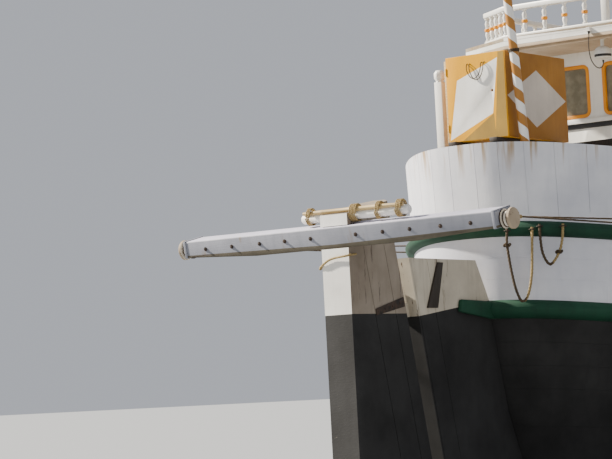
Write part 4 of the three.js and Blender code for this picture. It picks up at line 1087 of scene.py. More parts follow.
# Rope made fast round the rudder under the yoke, on the rudder's own axes
STOPPER_THICK = 0.024
STOPPER_ROUTE = ((-0.8, -0.185, 0.2), (-0.892, -0.14, 0.205), (-0.893, 0.04, 0.185), (-0.895, 0.15, 0.13),
                 (-0.87, 0.19, 0.1), (-0.79, 0.185, 0.14), (-0.76, 0.175, 0.205))
stopper = rope("rudder_stopper", smooth_line([lean(*place) for place in STOPPER_ROUTE], 0.01), STOPPER_THICK)
belongs(stopper, manila, "rudder")

# Sternpost panel: planks with a lighter weathered face, black below a line that rises forward
POST_SEAMS = (-11.15, -11.42, -11.7, -11.95)
POST_SEAM_LEAN = 0.21
POST_PAINT_AT = Vector((-11.4, 0, PAINT_LINE + 0.04))
POST_PAINT_RISE = 0.12
POST_HALF = 0.1594
panel = flat_copy("sternpost", "sternpost_planks")
score(panel, [((x, 0, 0), (1, 0, POST_SEAM_LEAN)) for x in POST_SEAMS], faces_sideways)
score(panel, [(POST_PAINT_AT, (-POST_PAINT_RISE, 0, 1))], seams=False)
cut_seams(panel, width=0.006, depth=0.008)
belongs(panel, stern_grey, stands_for=["sternpost"])
paint(panel, bottom_black,
      lambda centre, normal: centre.z < POST_PAINT_AT.z + (centre.x - POST_PAINT_AT.x) * POST_PAINT_RISE)


def on_sternpost(outline, depth, edge):
    """A plate on each side of the sternpost, its corners given as x and z."""
    return [prism("plate", [(x, side * POST_HALF, z) for x, z in outline], (0, side * depth, 0), edge)
            for side in (-1, 1)]


BRACE_OUTLINE = ((-11.607, 2.9), (-11.522, 2.9), (-11.647, 2.47), (-11.815, 2.47))
braces = on_sternpost(BRACE_OUTLINE, 0.022, 0.003)
belongs(joined("sternpost_braces", braces), tarred_and_shaded_timber)

# Green chocks on the sternpost's sides, that carry the line of the lower wales aft
CHOCK_OUTLINE = ((-11.3, 2.43), (-10.72, 2.355), (-10.72, 2.53), (-11.27, 2.55))
chocks = on_sternpost(CHOCK_OUTLINE, 0.05, 0.02)
belongs(joined("sternpost_chocks", chocks), wale_green)

# Stern locker: plywood box and door with a painted lozenge on each, and ochre painted shadow along the
# door's starboard edge and across its foot

locker_low, locker_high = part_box("stern_locker")
door_low, door_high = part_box("locker_door")
AFT = (-1, 0, 0)
STARBOARD = (0, -1, 0)
# The two ochre outlines are painted shadow, along the door's starboard edge and across its foot; the white
# one is the lozenge
DOOR_LOZENGE_AND_SHADOWS = (                # finish, corners as y and z
    (locker_painted_shadow, ((-0.395, 4.955), (-0.459, 4.955), (-0.459, 4.122), (-0.32, 4.122))),
    (locker_painted_shadow, ((-0.318, 4.36), (-0.33, 4.122), (0.06, 4.122))),
    (locker_white, ((-0.385, 4.9), (-0.305, 4.36), (0.203, 4.14), (0.092, 4.723))),
)
CASE_LOZENGE = ((-10.1, 4.805), (-9.56, 4.528), (-10.14, 4.234), (-10.655, 4.523))     # corners as x and z

door = flat_copy("locker_door", "painted_locker_door")
door.data.materials.append(locker_yellow)
for finish, outline in DOOR_LOZENGE_AND_SHADOWS:
    paint_outline(door, finish, [(door_low.x, y, z) for y, z in outline], AFT)
soften(door, width=0.002)
belongs(door, None, "locker_lid", ["locker_door"])

case = flat_copy("stern_locker", "painted_locker_case")
# The case's sides keep the yellow brown, partly painted shade, and its other faces are yellow; the side's
# lozenge is white darkened to stone as painted shade
case.data.materials.append(locker_tan_and_shade)
paint(case, locker_yellow, lambda centre, normal: abs(normal.y) < 0.5)
paint_outline(case, locker_lozenge_shade, [(x, locker_low.y, z) for x, z in CASE_LOZENGE], STARBOARD)
soften(case, width=0.003)
belongs(case, None, "hull", ["stern_locker"])

# Rope handle on the door: two loops through holes near its head
HANDLE_THICK = 0.011
HANDLE_WIDTH = 0.165
HOLE_HEIGHT = 4.875
HANDLE_HEAD = 4.86
HANDLE_NECK = 4.8
for i, (y, drop) in enumerate(((-0.035, 0.14), (-0.065, 0.155))):
    far = y - HANDLE_WIDTH
    # out from the door, y, z
    route = ((-0.004, y, HOLE_HEIGHT), (0.02, y - 0.004, HANDLE_HEAD), (0.028, y - 0.012, HANDLE_NECK),
             (0.026, y - HANDLE_WIDTH * 0.28, HANDLE_HEAD - drop * 0.86),
             (0.026, y - HANDLE_WIDTH * 0.55, HANDLE_HEAD - drop),
             (0.026, y - HANDLE_WIDTH * 0.82, HANDLE_HEAD - drop * 0.8),
             (0.028, far, HANDLE_NECK), (0.02, far - 0.006, HANDLE_HEAD), (-0.004, far - 0.006, HOLE_HEIGHT))
    line = smooth_line([(door_low.x - out, across, height) for out, across, height in route], 0.006)
    belongs(rope(f"locker_handle_{i + 1}", line, HANDLE_THICK), tarred_rope_and_shade, "locker_lid")

HINGE_INSET = 0.14              # from the door's foot and from its head
HINGE_HALF = 0.04
HINGE_PROFILE = [(0, 0.003), (0.03, 0.005), (0.32, 0.005), (0.33, 0.004), (0.34, 0.005), (0.65, 0.005),
                 (0.66, 0.004), (0.67, 0.005), (0.97, 0.005), (1, 0.003)]
hinge_pieces = []
for z in (door_low.z + HINGE_INSET, door_high.z - HINGE_INSET):
    at = Vector((door_low.x - 0.002, door_high.y + 0.002, z))
    hinge_pieces.append(turned("barrel", at - UP * HINGE_HALF, at + UP * HINGE_HALF, HINGE_PROFILE,
                               sides=12))
belongs(joined("locker_hinges", hinge_pieces), locker_yellow, "locker_lid")

# Bearers and thwart under the locker, dark as painted shade in the gap under it, the mooring post beside it
# and the batten that wedges it
for side in ("port", "starboard"):
    timber(f"locker_bearer_{side}", f"locker_skid_{side}", 0.006, tarred_and_shaded_timber)
timber("locker_thwart", "stern_thwart", 0.006, tarred_and_shaded_timber)
timber("stern_post", "white_mooring_post", 0.004, trim_white)
batten = block("locker_batten", (locker_low.x + 0.01, locker_high.y + 0.004, locker_low.z - 0.04),
               (locker_low.x + 0.05, locker_high.y + 0.04, locker_high.z - 0.03), edge=0.003)
belongs(batten, cane_timber)

# Ensign staff, painted in bands that wind up it, with a turned truck
STAFF_RAKE = math.radians(7)
STAFF_FOOT = Vector((-10.426, -0.56, 3.08))
STAFF_LENGTH = 4.4
STAFF_PROFILE = [(0, 0.047), (0.97, 0.04), (0.972, 0.03), (0.978, 0.03), (0.98, 0.045), (0.985, 0.056),
                 (0.99, 0.056), (0.996, 0.04), (1, 0.01)]
BAND_RISE = 0.235               # of a pair of bands in one turn round the staff
BINDING_HEIGHT = 1.88           # up the staff, where a dark cord is wound round it
BINDING_THICK = 0.011
staff_way = Vector((-math.sin(STAFF_RAKE), 0, math.cos(STAFF_RAKE)))
staff_paint = striped_paint("banded gloss paint on the staff", STAFF_FOOT, STAFF_RAKE, BAND_RISE, "#f2f0ea",
                            "#ad7426")
staff = turned("banded_staff", STAFF_FOOT + staff_way * 0.1, STAFF_FOOT + staff_way * STAFF_LENGTH,
               STAFF_PROFILE, sides=28)
belongs(staff, staff_paint, stands_for=["ensign_staff"])
staff_binding = winding("staff_binding", STAFF_FOOT + staff_way * BINDING_HEIGHT, (0.05, 0, 0), (0, 0.05, 0),
                        staff_way * BINDING_THICK, 3, BINDING_THICK)
belongs(staff_binding, tarred_rope_and_shade)

# Deckhouse walls: rounded window holes, orange frames and olive glass

WINDOW_WIDTH = 0.5
WINDOW_FOOT = 4.8
WINDOW_HEAD = 5.43
WINDOW_PITCH = 0.67
WINDOW_CORNER = 0.085
FRAME_FACE = 0.042
FRAME_DEPTH = 0.07
WALL = 0.06
GLASS = 0.006


def rounded_pane(name, width, height, corner, depth, rim=0.0):
    """A rounded plate facing +X round the origin, or only its rim where rim is the rim's width."""
    bpy.ops.mesh.primitive_plane_add(size=1, rotation=(0, math.pi / 2, 0))
    piece = new_piece(name)
    edit(piece)
    bpy.ops.transform.resize(value=(1, width, height))
    bpy.ops.mesh.bevel(offset=corner, segments=5, affect="VERTICES")
    if rim:
        bpy.ops.mesh.select_mode(type="FACE")
        bpy.ops.mesh.select_all(action="SELECT")
        bpy.ops.mesh.inset(thickness=rim)
        bpy.ops.mesh.delete(type="FACE")
    bpy.ops.mesh.select_all(action="SELECT")
    bpy.ops.mesh.extrude_region_move(TRANSFORM_OT_translate={"value": (depth, 0, 0)})
    bpy.ops.mesh.select_all(action="SELECT")
    bpy.ops.transform.translate(value=(-depth / 2, 0, 0))
    end_edit(outward=True)
    return piece


def set_in_wall(pattern, places, across_boat):
    """Copies of a pattern that faces +X, one at each place; walls along the boat need them turned."""
    turn = Matrix.Identity(4) if across_boat else Matrix.Rotation(math.pi / 2, 4, "Z")
    made = []
    for place in places:
        piece = copy_of(pattern, pattern.name)
        piece.matrix_world = Matrix.Translation(Vector(place)) @ turn
        made.append(settle(piece))
    return made


window_height = WINDOW_HEAD - WINDOW_FOOT
window_frame = soften(rounded_pane("frame", WINDOW_WIDTH - 0.002, window_height - 0.002, WINDOW_CORNER,
                                   FRAME_DEPTH, FRAME_FACE), width=0.006)
window_pane = smooth(rounded_pane("pane", WINDOW_WIDTH - FRAME_FACE, window_height - FRAME_FACE,
                                  WINDOW_CORNER * 0.7, GLASS))
window_hole = rounded_pane("hole", WINDOW_WIDTH, window_height, WINDOW_CORNER, WALL * 4)


def dressed_wall(node, name, count, middle, across_boat):
    """A house wall with rounded window holes, and its frames and panes."""
    low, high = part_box(node)
    centre = (low + high) / 2
    window_z = (WINDOW_FOOT + WINDOW_HEAD) / 2
    stations = [middle + (i - (count - 1) / 2) * WINDOW_PITCH for i in range(count)]
    places = [(centre.x, at, window_z) if across_boat else (at, centre.y, window_z) for at in stations]
    half = [WALL / 2, WINDOW_WIDTH / 2] if across_boat else [WINDOW_WIDTH / 2, WALL / 2]
    half.append(window_height / 2)
    piece = flat_copy(node, name)
    fills = []
    for place in places:
        fill_low = [p - h for p, h in zip(place, half)]
        fill_high = [p + h for p, h in zip(place, half)]
        fills.append(block("fill", fill_low, fill_high, edge=0))
    holes = set_in_wall(window_hole, places, across_boat)
    for tools, operation in ((fills, "UNION"), (holes, "DIFFERENCE")):
        tool = joined("tool", tools)
        finish_with(piece, "BOOLEAN", object=tool, operation=operation, solver="EXACT")
        bpy.data.objects.remove(tool)
    edit(piece)
    bpy.ops.mesh.remove_doubles(threshold=0.0002)
    bpy.ops.mesh.dissolve_limited(angle_limit=FLAT)
    end_edit()
    soften(piece, width=0.003, degrees=50)
    belongs(piece, house_white, stands_for=[node])
    frames = set_in_wall(window_frame, places, across_boat)
    belongs(joined(f"{name}_frames", frames), ring_orange)
    panes = set_in_wall(window_pane, places, across_boat)
    belongs(joined(f"{name}_panes", panes), pane_glass)


house_middle = (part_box("deckhouse_aft_wall")[0].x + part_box("deckhouse_front_wall")[1].x) / 2
dressed_wall("deckhouse_aft_wall", "house_after_wall", 6, 0, True)
dressed_wall("deckhouse_front_wall", "house_fore_wall", 6, 0, True)
dressed_wall("deckhouse_port_wall", "house_port_wall", 5, house_middle, False)
dressed_wall("deckhouse_starboard_wall", "house_starboard_wall", 5, house_middle, False)
for pattern in (window_frame, window_pane, window_hole):
    bpy.data.objects.remove(pattern)

# Sills under the windows, white over a black band, round the outside of the house
SILL_TOP = WINDOW_FOOT - 0.015
SILL_DEPTH = 0.05
BAND_DEPTH = 0.06
house_low = Vector((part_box("deckhouse_aft_wall")[0].x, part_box("deckhouse_aft_wall")[0].y, 0))
house_high = Vector((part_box("deckhouse_front_wall")[1].x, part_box("deckhouse_aft_wall")[1].y, 0))
for name, finish, out, top, depth in (
        ("house_sill", trim_white, 0.035, SILL_TOP, SILL_DEPTH),
        ("house_sill_band", sill_black, 0.012, SILL_TOP - SILL_DEPTH, BAND_DEPTH)):
    z = top - depth / 2
    sides = []
    for side in (-1, 1):
        y = side * (house_high.y + out / 2 + 0.0005)
        fore_end = (house_high.x + out, y, z)
        sides.append(beam_between("strip", (house_low.x - out, y, z), fore_end, out, depth))
        x = (house_low.x - out / 2 - 0.0005) if side < 0 else (house_high.x + out / 2 + 0.0005)
        sides.append(beam_between("strip", (x, house_low.y, z), (x, house_high.y, z), out, depth))
    belongs(joined(name, sides), finish)

# Side door: two sunk panels and a knob
side_door_low, side_door_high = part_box("deckhouse_door")
side_door = flat_copy("deckhouse_door", "house_side_door")
DOOR_STILE = 0.1
PANEL_INSET = 0.02
PANEL_SINK = 0.01
panel_fore_and_aft = (side_door_low.x + DOOR_STILE, side_door_high.x - DOOR_STILE)
panel_heights = ((side_door_low.z + 0.16, side_door_low.z + 0.76),
                 (side_door_low.z + 0.9, side_door_high.z - 0.12))


def on_panel(centre, normal):
    return (faces_sideways(centre, normal) and panel_fore_and_aft[0] < centre.x < panel_fore_and_aft[1]
            and any(foot < centre.z < head for foot, head in panel_heights))


panel_lines = [((x, 0, 0), (1, 0, 0)) for x in panel_fore_and_aft]
panel_lines += [((0, 0, z), UP) for heights in panel_heights for z in heights]
score(side_door, panel_lines, faces_sideways, seams=False)
edit(side_door, "DESELECT")
bpy.ops.mesh.select_mode(type="FACE")
select_faces(side_door, on_panel)
bpy.ops.mesh.inset(thickness=PANEL_INSET, depth=-PANEL_SINK, use_individual=True)
end_edit()
soften(side_door, width=0.002)
belongs(side_door, house_white, "house_door", ["deckhouse_door"])
KNOB_PROFILE = [(0, 0.024), (0.3, 0.024), (0.4, 0.012), (0.6, 0.018), (1, 0.012)]
knob_at = Vector((side_door_low.x + 0.05, side_door_low.y, side_door_low.z + 0.85))
knob = turned("house_door_knob", knob_at, knob_at - Vector((0, 0.014, 0)), KNOB_PROFILE, sides=20)
belongs(knob, brass, "house_door")

# Upper deck: planked, with a moulded edge and a beige underside

deck_low, deck_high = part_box("upper_deck")
upper_deck = flat_copy("upper_deck", "planked_upper_deck")
PLANK = 0.14
planks = [((0, y, 0), (0, 1, 0)) for y in spaced(-deck_high.y + PLANK, deck_high.y - PLANK / 2, PLANK)]
score(upper_deck, planks, lambda centre, normal: abs(normal.z) > 0.9)
edge_heights = (deck_low.z + 0.035, deck_high.z - 0.04)
score(upper_deck, [((0, 0, z), UP) for z in edge_heights], lambda centre, normal: abs(normal.z) < 0.1)
cut_seams(upper_deck, width=0.005, depth=0.005)
belongs(upper_deck, trim_white, stands_for=["upper_deck"])
paint(upper_deck, soffit_beige, lambda centre, normal: centre.z < deck_low.z + 0.012 and normal.z < 0.5)
paint(upper_deck, deck_timber, lambda centre, normal: centre.z > deck_high.z - 0.012 and normal.z > -0.5
      and abs(centre.y) < deck_high.y - 0.01)

# Balustrade and the edge strip under the deck follow one line, given from the starboard fore end round aft
RAIL_FORE = deck_high.x - 0.055
RAIL_SHOULDER = -6.535      # where the side rails turn in to cut the deck's corners
RAIL_AFT = -6.795
RAIL_HALF = 2.33
CORNER_OUT = 1.92           # distance from the centreline of the after rail's ends
NEWEL_OUT = 0.59            # distance from the centreline of the square posts in the after rail
RAIL_LEGS = (               # start of each leg, how many bays it has, whether it starts at a square post
    (RAIL_FORE, -RAIL_HALF, 20, True),
    (RAIL_SHOULDER, -RAIL_HALF, 4, False),
    (RAIL_AFT, -CORNER_OUT, 5, False),
    (RAIL_AFT, -NEWEL_OUT, 4, True),
    (RAIL_AFT, NEWEL_OUT, 5, True),
    (RAIL_AFT, CORNER_OUT, 4, False),
    (RAIL_SHOULDER, RAIL_HALF, 20, False),
)
rail_stops = [Vector((x, y, 0)) for x, y, bays, square in RAIL_LEGS] + [Vector((RAIL_FORE, RAIL_HALF, 0))]
rail_line = [rail_stops[i] for i in (0, 1, 2, 5, 6, 7)]

# Under the overhang: a strip along the edge, and beams out from the house's sides
BEAM_DEPTH = 0.045
BEAM_WIDTH = 0.06
BEAM_COUNT = 9
BEAM_PITCH = 0.52
under_pieces = [level_strip("strip", rail_line, 0.01, 0.045, deck_low.z - 0.0305, 0.03)]
beam_z = deck_low.z - 0.0005 - BEAM_DEPTH / 2
for side in (-1, 1):
    for i in range(BEAM_COUNT):
        x = house_low.x + 0.25 + i * BEAM_PITCH
        under_pieces.append(beam_between("beam", (x, side * (house_high.y + 0.0005), beam_z),
                                         (x, side * RAIL_HALF, beam_z), BEAM_WIDTH, BEAM_DEPTH))
belongs(joined("upper_deck_beams", under_pieces), soffit_beige)

# Balustrade: turned balusters with an orange ring, between two rails and square posts
RAIL_TOP = 6.08
RAIL_DEPTH = 0.06
RAIL_WIDTH = 0.08
FOOT_RAIL = 0.03
NEWEL = 0.074
baluster_foot = deck_high.z + 0.0003 + FOOT_RAIL
baluster_head = RAIL_TOP - RAIL_DEPTH
BALUSTER_PROFILE = [(0, 0.03), (0.07, 0.03), (0.09, 0.02), (0.14, 0.019), (0.3, 0.03), (0.38, 0.026),
                    (0.42, 0.02), (0.44, 0.032), (0.5, 0.036), (0.56, 0.032), (0.58, 0.02), (0.64, 0.024),
                    (0.78, 0.029), (0.88, 0.018), (0.92, 0.018), (0.94, 0.029), (1, 0.029)]
first_baluster = turned("baluster", (0, 0, baluster_foot), (0, 0, baluster_head), BALUSTER_PROFILE, sides=14)
first_baluster.data.materials.append(trim_white)
ring_low, ring_high = (baluster_foot + (baluster_head - baluster_foot) * share for share in (0.43, 0.57))
paint(first_baluster, ring_orange, lambda centre, normal: ring_low < centre.z < ring_high)
balusters = []
rails = [level_strip("rail", rail_line, -RAIL_WIDTH / 2, RAIL_WIDTH / 2, foot, depth, edge)
         for foot, depth, edge in ((RAIL_TOP - RAIL_DEPTH, RAIL_DEPTH, 0.014),
                                   (baluster_foot - FOOT_RAIL, FOOT_RAIL, 0.008))]
for start, end, (x, y, bays, square) in zip(rail_stops, rail_stops[1:], RAIL_LEGS):
    for i in range(1 if square else 0, bays):
        baluster = copy_of(first_baluster, "baluster")
        baluster.location = start.lerp(end, i / bays)
        balusters.append(settle(baluster))
for i in (0, 3, 4, 7):
    x, y, z = rail_stops[i]
    rails.append(block("newel", (x - NEWEL / 2, y - NEWEL / 2, deck_high.z + 0.0003),
                       (x + NEWEL / 2, y + NEWEL / 2, RAIL_TOP - 0.001), edge=0.006))
bpy.data.objects.remove(first_baluster)
belongs(joined("turned_balusters", balusters), None)
belongs(joined("balustrade_rails", rails), trim_white,
        stands_for=["upper_deck_balustrade"])

# Main deck, hatch, platform and the squared timbers

CLEAR_PLANK = 0.15
HATCH_BOARD = 0.24


def planked(node, name, across, pitch, facing_up=0.9):
    """A CAD node whose upper side is laid with planks, seamed every pitch metres along an axis."""
    piece = flat_copy(node, name)
    low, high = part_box(node)
    axis = "xyz".index(across)
    normal = Vector((0, 0, 0))
    normal[axis] = 1
    count = math.floor((high[axis] - low[axis]) / pitch)
    first = (low[axis] + high[axis]) / 2 - pitch * (count - 1) / 2
    lines = [(normal * (first + i * pitch), normal) for i in range(count)]
    score(piece, lines, lambda centre, normal: normal.z > facing_up)
    cut_seams(piece, width=0.006, depth=0.004)
    belongs(piece, deck_timber, stands_for=[node])


planked("main_deck", "main_deck_planks", "y", CLEAR_PLANK, facing_up=0.6)
planked("helm_platform", "helm_platform_planks", "y", CLEAR_PLANK)
planked("hatch_boards", "hatch_cover_boards", "x", HATCH_BOARD)

timber("keel", "keel_timber", 0.02, bottom_black)

# Stem: white, and black below a line that falls forward
STEM_PAINT_AT = Vector((11.7, 0, 2.05))
STEM_PAINT_FALL = 0.1
stem = score(flat_copy("stem", "stem_timber"), [(STEM_PAINT_AT, (STEM_PAINT_FALL, 0, 1))], seams=False)
soften(stem, width=0.02)
belongs(stem, hull_white, stands_for=["stem"])
paint(stem, bottom_black,
      lambda centre, normal: centre.z < STEM_PAINT_AT.z - (centre.x - STEM_PAINT_AT.x) * STEM_PAINT_FALL)

timber("waist_rail_port", "waist_cap_port", 0.012, trim_white)
timber("waist_rail_starboard", "waist_cap_starboard", 0.012, trim_white)
timber("hatch_coaming", "hatch_coaming_boards", 0.01, oiled_timber)
timber("wheel_pedestal", "wheel_pedestal_case", 0.012, varnished_timber)
timber("fore_bitts", "fore_bitt_posts", 0.015, oiled_timber)

# Lifting rings that lie flat on the hatch boards, each held by a staple
RING_BEND = ((-0.014, -0.01), (-0.013, 0.012), (0, 0.02), (0.013, 0.012), (0.014, -0.01))
hatch_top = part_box("hatch_boards")[1].z
ring_pieces = []
for x in (0.35, 1.1, 2.1, 2.85):
    for y in (-1.0, 1.0):
        ring_pieces.append(ring("ring", (x, y, hatch_top + 0.007), UP, 0.05, 0.012))
        staple = [(x + 0.05, y + across, hatch_top + rise) for across, rise in RING_BEND]
        ring_pieces.append(rope("staple", smooth_line(staple, 0.006), 0.008, relief=0))
belongs(joined("hatch_rings", ring_pieces), galvanised)

# Mooring rope made fast round the crossbar of the bitts
BITT_ROPE_THICK = 0.028
for side, suffix in ((-1, "starboard"), (1, "port")):
    for i, y in enumerate((0.7, 0.34)):
        wrap = winding(f"bitt_rope_{suffix}_{i + 1}", (9.7, side * y, 3.205), (0.078, 0, 0), (0, 0, 0.093),
                       (0, 0.03 * side, 0), 4, BITT_ROPE_THICK)
        belongs(wrap, manila)

# Steering wheel: a bent rim, turned spokes with handles and a brass hub
WHEEL_CENTRE = Vector((-2.6303, 0, 4.68))
WHEEL_RADIUS = 0.4
WHEEL_REACH = 0.53
RIM_THICK = 0.052
SPOKES = 8
SPOKE_PROFILE = [(0, 0.016), (0.14, 0.018), (0.2, 0.021), (0.45, 0.014), (0.66, 0.018), (0.68, 0.021),
                 (0.82, 0.021), (0.84, 0.011), (0.9, 0.016), (0.96, 0.018), (0.99, 0.012), (1, 0.004)]
HUB_PROFILE = [(0, 0.03), (0.06, 0.05), (0.12, 0.07), (0.25, 0.075), (0.75, 0.075), (0.88, 0.07),
               (0.94, 0.05), (1, 0.04)]
wheel_pieces = [ring("rim", WHEEL_CENTRE, (1, 0, 0), WHEEL_RADIUS, RIM_THICK)]
for i in range(SPOKES):
    turn = 2 * math.pi * i / SPOKES
    way = Vector((0, math.sin(turn), math.cos(turn)))
    tip = WHEEL_CENTRE + way * WHEEL_REACH
    wheel_pieces.append(turned("spoke", WHEEL_CENTRE, tip, SPOKE_PROFILE, sides=14))
belongs(joined("helm_wheel_rim", wheel_pieces), varnished_timber, "helm_wheel",
        ["steering_wheel"])
hub = turned("helm_wheel_hub", WHEEL_CENTRE - Vector((0.058, 0, 0)), WHEEL_CENTRE + Vector((0.068, 0, 0)),
             HUB_PROFILE, sides=32)
belongs(hub, brass, "helm_wheel")

# Propeller and rigging wire
screw = smooth(smooth_surface(skin_copy("propeller", "bronze_screw"), 1), 50)
belongs(screw, bronze, "propeller", ["propeller"])
for node, name in (("forestay", "forestay_wire"), ("shrouds_port", "shroud_wires_port"),
                   ("shrouds_starboard", "shroud_wires_starboard")):
    belongs(smooth(skin_copy(node, name), 50), wire_steel, stands_for=[node])

# Mast: a tapered pole with iron bands and rope woolding
MAST_FOOT = Vector((4.7, 0, 2.3))
MAST_RAKE = math.radians(4)
MAST_LENGTH = 9.3
BAND_HEIGHTS = (0.75, 3.4, 9.1)
BAND_HALF_DEPTH = 0.035
WOOLDINGS = ((2.1, 7), (4.9, 6), (7.6, 6))      # height up the mast, turns
WOOLDING_THICK = 0.022
mast_way = Vector((math.sin(MAST_RAKE), 0, math.cos(MAST_RAKE)))
mast_across = Vector((math.cos(MAST_RAKE), 0, -math.sin(MAST_RAKE)))


def mast_radius(height):
    return 0.19 - 0.08 * height / MAST_LENGTH


mast = smooth(smooth_surface(skin_copy("mast", "pole_mast")), 40)
belongs(mast, spar_timber, stands_for=["mast"])
mast_bands = []
for height in BAND_HEIGHTS:
    at = MAST_FOOT + mast_way * height
    radius = mast_radius(height)
    mast_bands.append(turned("band", at - mast_way * BAND_HALF_DEPTH, at + mast_way * BAND_HALF_DEPTH,
                             [(0, radius + 0.004), (0.08, radius + 0.009), (0.92, radius + 0.009),
                              (1, radius + 0.004)], sides=40))
belongs(joined("mast_bands", mast_bands), rusty_iron)
for i, (height, turns) in enumerate(WOOLDINGS):
    reach = mast_radius(height) + 0.008
    woolding = winding(f"mast_woolding_{i + 1}", MAST_FOOT + mast_way * height, mast_across * reach,
                       (0, reach, 0), mast_way * WOOLDING_THICK, turns, WOOLDING_THICK)
    belongs(woolding, tarred_rope_and_shade)

# Lateen yard, its sail rolled up under it
YARD_SLING = Vector((5.1611, 0.37, 8.8939))
YARD_SLOPE = math.radians(26)
YARD_LENGTH = 15.6
YARD_FORE_SHARE = 0.47
yard_way = Vector((-math.cos(YARD_SLOPE), 0, math.sin(YARD_SLOPE)))         # from its fore end up and aft
under_yard = Vector((-math.sin(YARD_SLOPE), 0, -math.cos(YARD_SLOPE)))
yard_fore = YARD_SLING - yard_way * YARD_FORE_SHARE * YARD_LENGTH
YARD_RADII = ((0, 0.06), (0.25, 0.11), (0.47, 0.135), (0.72, 0.11), (1, 0.06))
FURL_START = 0.06
FURL_END = 0.93
FURL_DROP = 0.215
FURL_FLATNESS = 0.85            # the roll's width as a share of its depth
LASHED_BAYS = 8
LASHING_THICK = 0.018
LASHING_PULL = 0.22             # share of its radius that the roll loses under a lashing
ROLL_TURNS = 6
ROLL_CORE = 0.3                 # radius of the innermost turn as a share of the outermost


def yard_radius(share):
    for (start, low), (end, high) in zip(YARD_RADII, YARD_RADII[1:]):
        if share <= end:
            return low + (high - low) * (share - start) / (end - start)
    return YARD_RADII[-1][1]


def roll_radius(share):
    """Radius of the rolled sail at a share of its own length, drawn in at each lashing."""
    swell = 0.07 + 0.105 * math.sin(math.pi * (0.06 + 0.88 * share))
    bay = share * LASHED_BAYS
    loose = min(1, 3 * abs(bay - round(bay)))
    return swell * (1 - LASHING_PULL * (1 - loose * loose * (3 - 2 * loose)))


def on_yard(share):
    """Share of the yard's length at a share of the roll's."""
    return FURL_START + (FURL_END - FURL_START) * share


def roll_drop(share):
    """How far the roll's middle hangs under the yard's middle: snug at the thin ends."""
    return min(FURL_DROP, yard_radius(on_yard(share)) + roll_radius(share) * 0.94)


def rolled_place(share, depth):
    """Where a point of the sail lies once it is rolled: share along the yard, depth from leech to luff."""
    along = on_yard(share)
    turn = 2 * math.pi * ROLL_TURNS * depth - math.pi / 2
    crease = Vector((1.7 * math.cos(turn), 1.7 * math.sin(turn), share * 30))
    pleat = 0.1 * relief_noise.noise(crease) + 0.06 * relief_noise.noise(crease * Vector((3, 3, 2.3)))
    bay = share * LASHED_BAYS
    pinch = max(0, 1 - 4 * abs(bay - round(bay)))
    pleat += 0.05 * pinch * math.cos(7 * turn)
    reach = roll_radius(share) * (1 - (1 - ROLL_CORE) * depth) * (1 + pleat)
    across = math.cos(turn) * reach * FURL_FLATNESS
    down = math.sin(turn) * reach + roll_drop(share)
    clear = yard_radius(along) + 0.004 + 0.012 * depth
    if abs(across) < clear:
        under = math.sqrt(clear * clear - across * across)
        down = max(down, under)
    return yard_fore + yard_way * along * YARD_LENGTH + Vector((0, across, 0)) + under_yard * down


yard = smooth(smooth_surface(skin_copy("lateen_yard", "lateen_spar")), 40)
belongs(yard, spar_timber, "yard", ["lateen_yard"])

bpy.ops.mesh.primitive_grid_add(x_subdivisions=192, y_subdivisions=24 * ROLL_TURNS, size=1)
sail = named(bpy.context.active_object, "rolled_sail")
for vertex in sail.data.vertices:
    vertex.co = rolled_place(vertex.co.x + 0.5, vertex.co.y + 0.5)
smooth(sail, 80)
belongs(sail, sail_canvas, "yard", ["furled_sail"])
for i in range(LASHED_BAYS + 1):
    share = i / LASHED_BAYS
    spar = yard_radius(on_yard(share))
    roll = roll_radius(share)
    foot = roll_drop(share) + roll * 1.06
    middle = yard_fore + yard_way * (on_yard(share) * YARD_LENGTH) + under_yard * ((foot - spar) / 2)
    half_width = max(spar, roll * FURL_FLATNESS * 1.06) / 0.88 + 0.01
    lashing = winding(f"sail_lashing_{i + 1}", middle, (0, half_width, 0),
                      under_yard * ((foot + spar) / 2 + 0.01), yard_way * 0.03, 3, LASHING_THICK)
    belongs(lashing, manila, "yard")

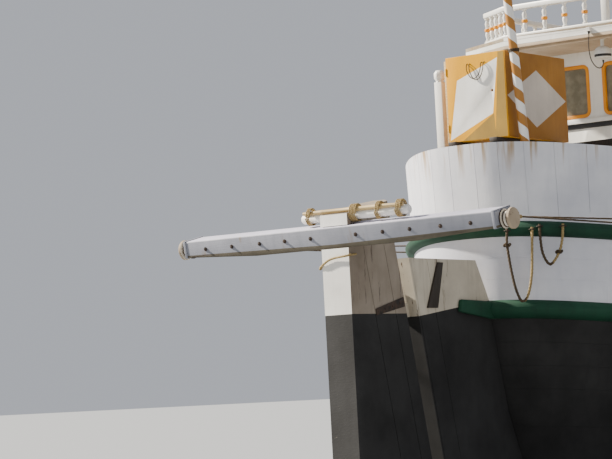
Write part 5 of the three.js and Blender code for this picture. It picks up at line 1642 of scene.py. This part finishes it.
# Parrel: a rope collar round the mast, and strops from it over the yard
COLLAR_HEIGHT = 6.542
COLLAR_RADIUS = 0.19
COLLAR_THICK = 0.034
STROP_THICK = 0.03
STROP_STATIONS = (-0.04, 0, 0.04)       # along the yard from its sling
STROP_ROUTE = ((0.2, 0.03), (0.24, -0.06), (0.3, -0.145), (0.37, -0.158), (0.44, -0.14), (0.5, -0.085),
               (0.525, 0), (0.51, 0.07))        # y, way under the yard's middle
collar = winding("parrel_collar", MAST_FOOT + mast_way * COLLAR_HEIGHT, mast_across * COLLAR_RADIUS,
                 (0, COLLAR_RADIUS, 0), mast_way * COLLAR_THICK, 2.5, COLLAR_THICK)
belongs(collar, manila, "yard", ["yard_parrel"])
for i, offset in enumerate(STROP_STATIONS):
    base = YARD_SLING + yard_way * offset
    places = [Vector((base.x, y, base.z)) + under_yard * drop for y, drop in STROP_ROUTE]
    strop = rope(f"parrel_strop_{i + 1}", smooth_line(places, 0.012), STROP_THICK)
    belongs(strop, manila, "yard")

# Floor, light and surroundings

FLOOR_REACH = 900
bpy.ops.mesh.primitive_plane_add(size=2 * FLOOR_REACH, location=(0, 0, 0))
floor = named(bpy.context.active_object, "studio_floor")
floor_paint, _, floor_shader, _ = new_finish("pale studio floor", roughness=0.9)
floor_shader.inputs["Base Color"].default_value = linear("#9a9da0")
floor.data.materials.append(floor_paint)

SUN_HEIGHT = math.radians(35)
SUN_BEARING = math.radians(107)      # from +X towards +Y: over the port quarter
SUN_POWER = 14.0
SKY_STRENGTH = 0.62
sun = bpy.data.objects.new("sun", bpy.data.lights.new("sun", "SUN"))
bpy.context.scene.collection.objects.link(sun)
sun.data.energy = SUN_POWER
sun.data.angle = math.radians(3)
sun.data.color = (1.0, 0.93, 0.82)
towards_sun = Vector((
    math.cos(SUN_HEIGHT) * math.cos(SUN_BEARING),
    math.cos(SUN_HEIGHT) * math.sin(SUN_BEARING),
    math.sin(SUN_HEIGHT),
))
sun.rotation_mode = "QUATERNION"
sun.rotation_quaternion = towards_sun.to_track_quat("Z", "Y")

world = bpy.data.worlds.new("pale sky")
bpy.context.scene.world = world
world.use_nodes = True
sky = world.node_tree.nodes["Background"]
sky.inputs["Color"].default_value = linear("#e3e7f0")
sky.inputs["Strength"].default_value = SKY_STRENGTH
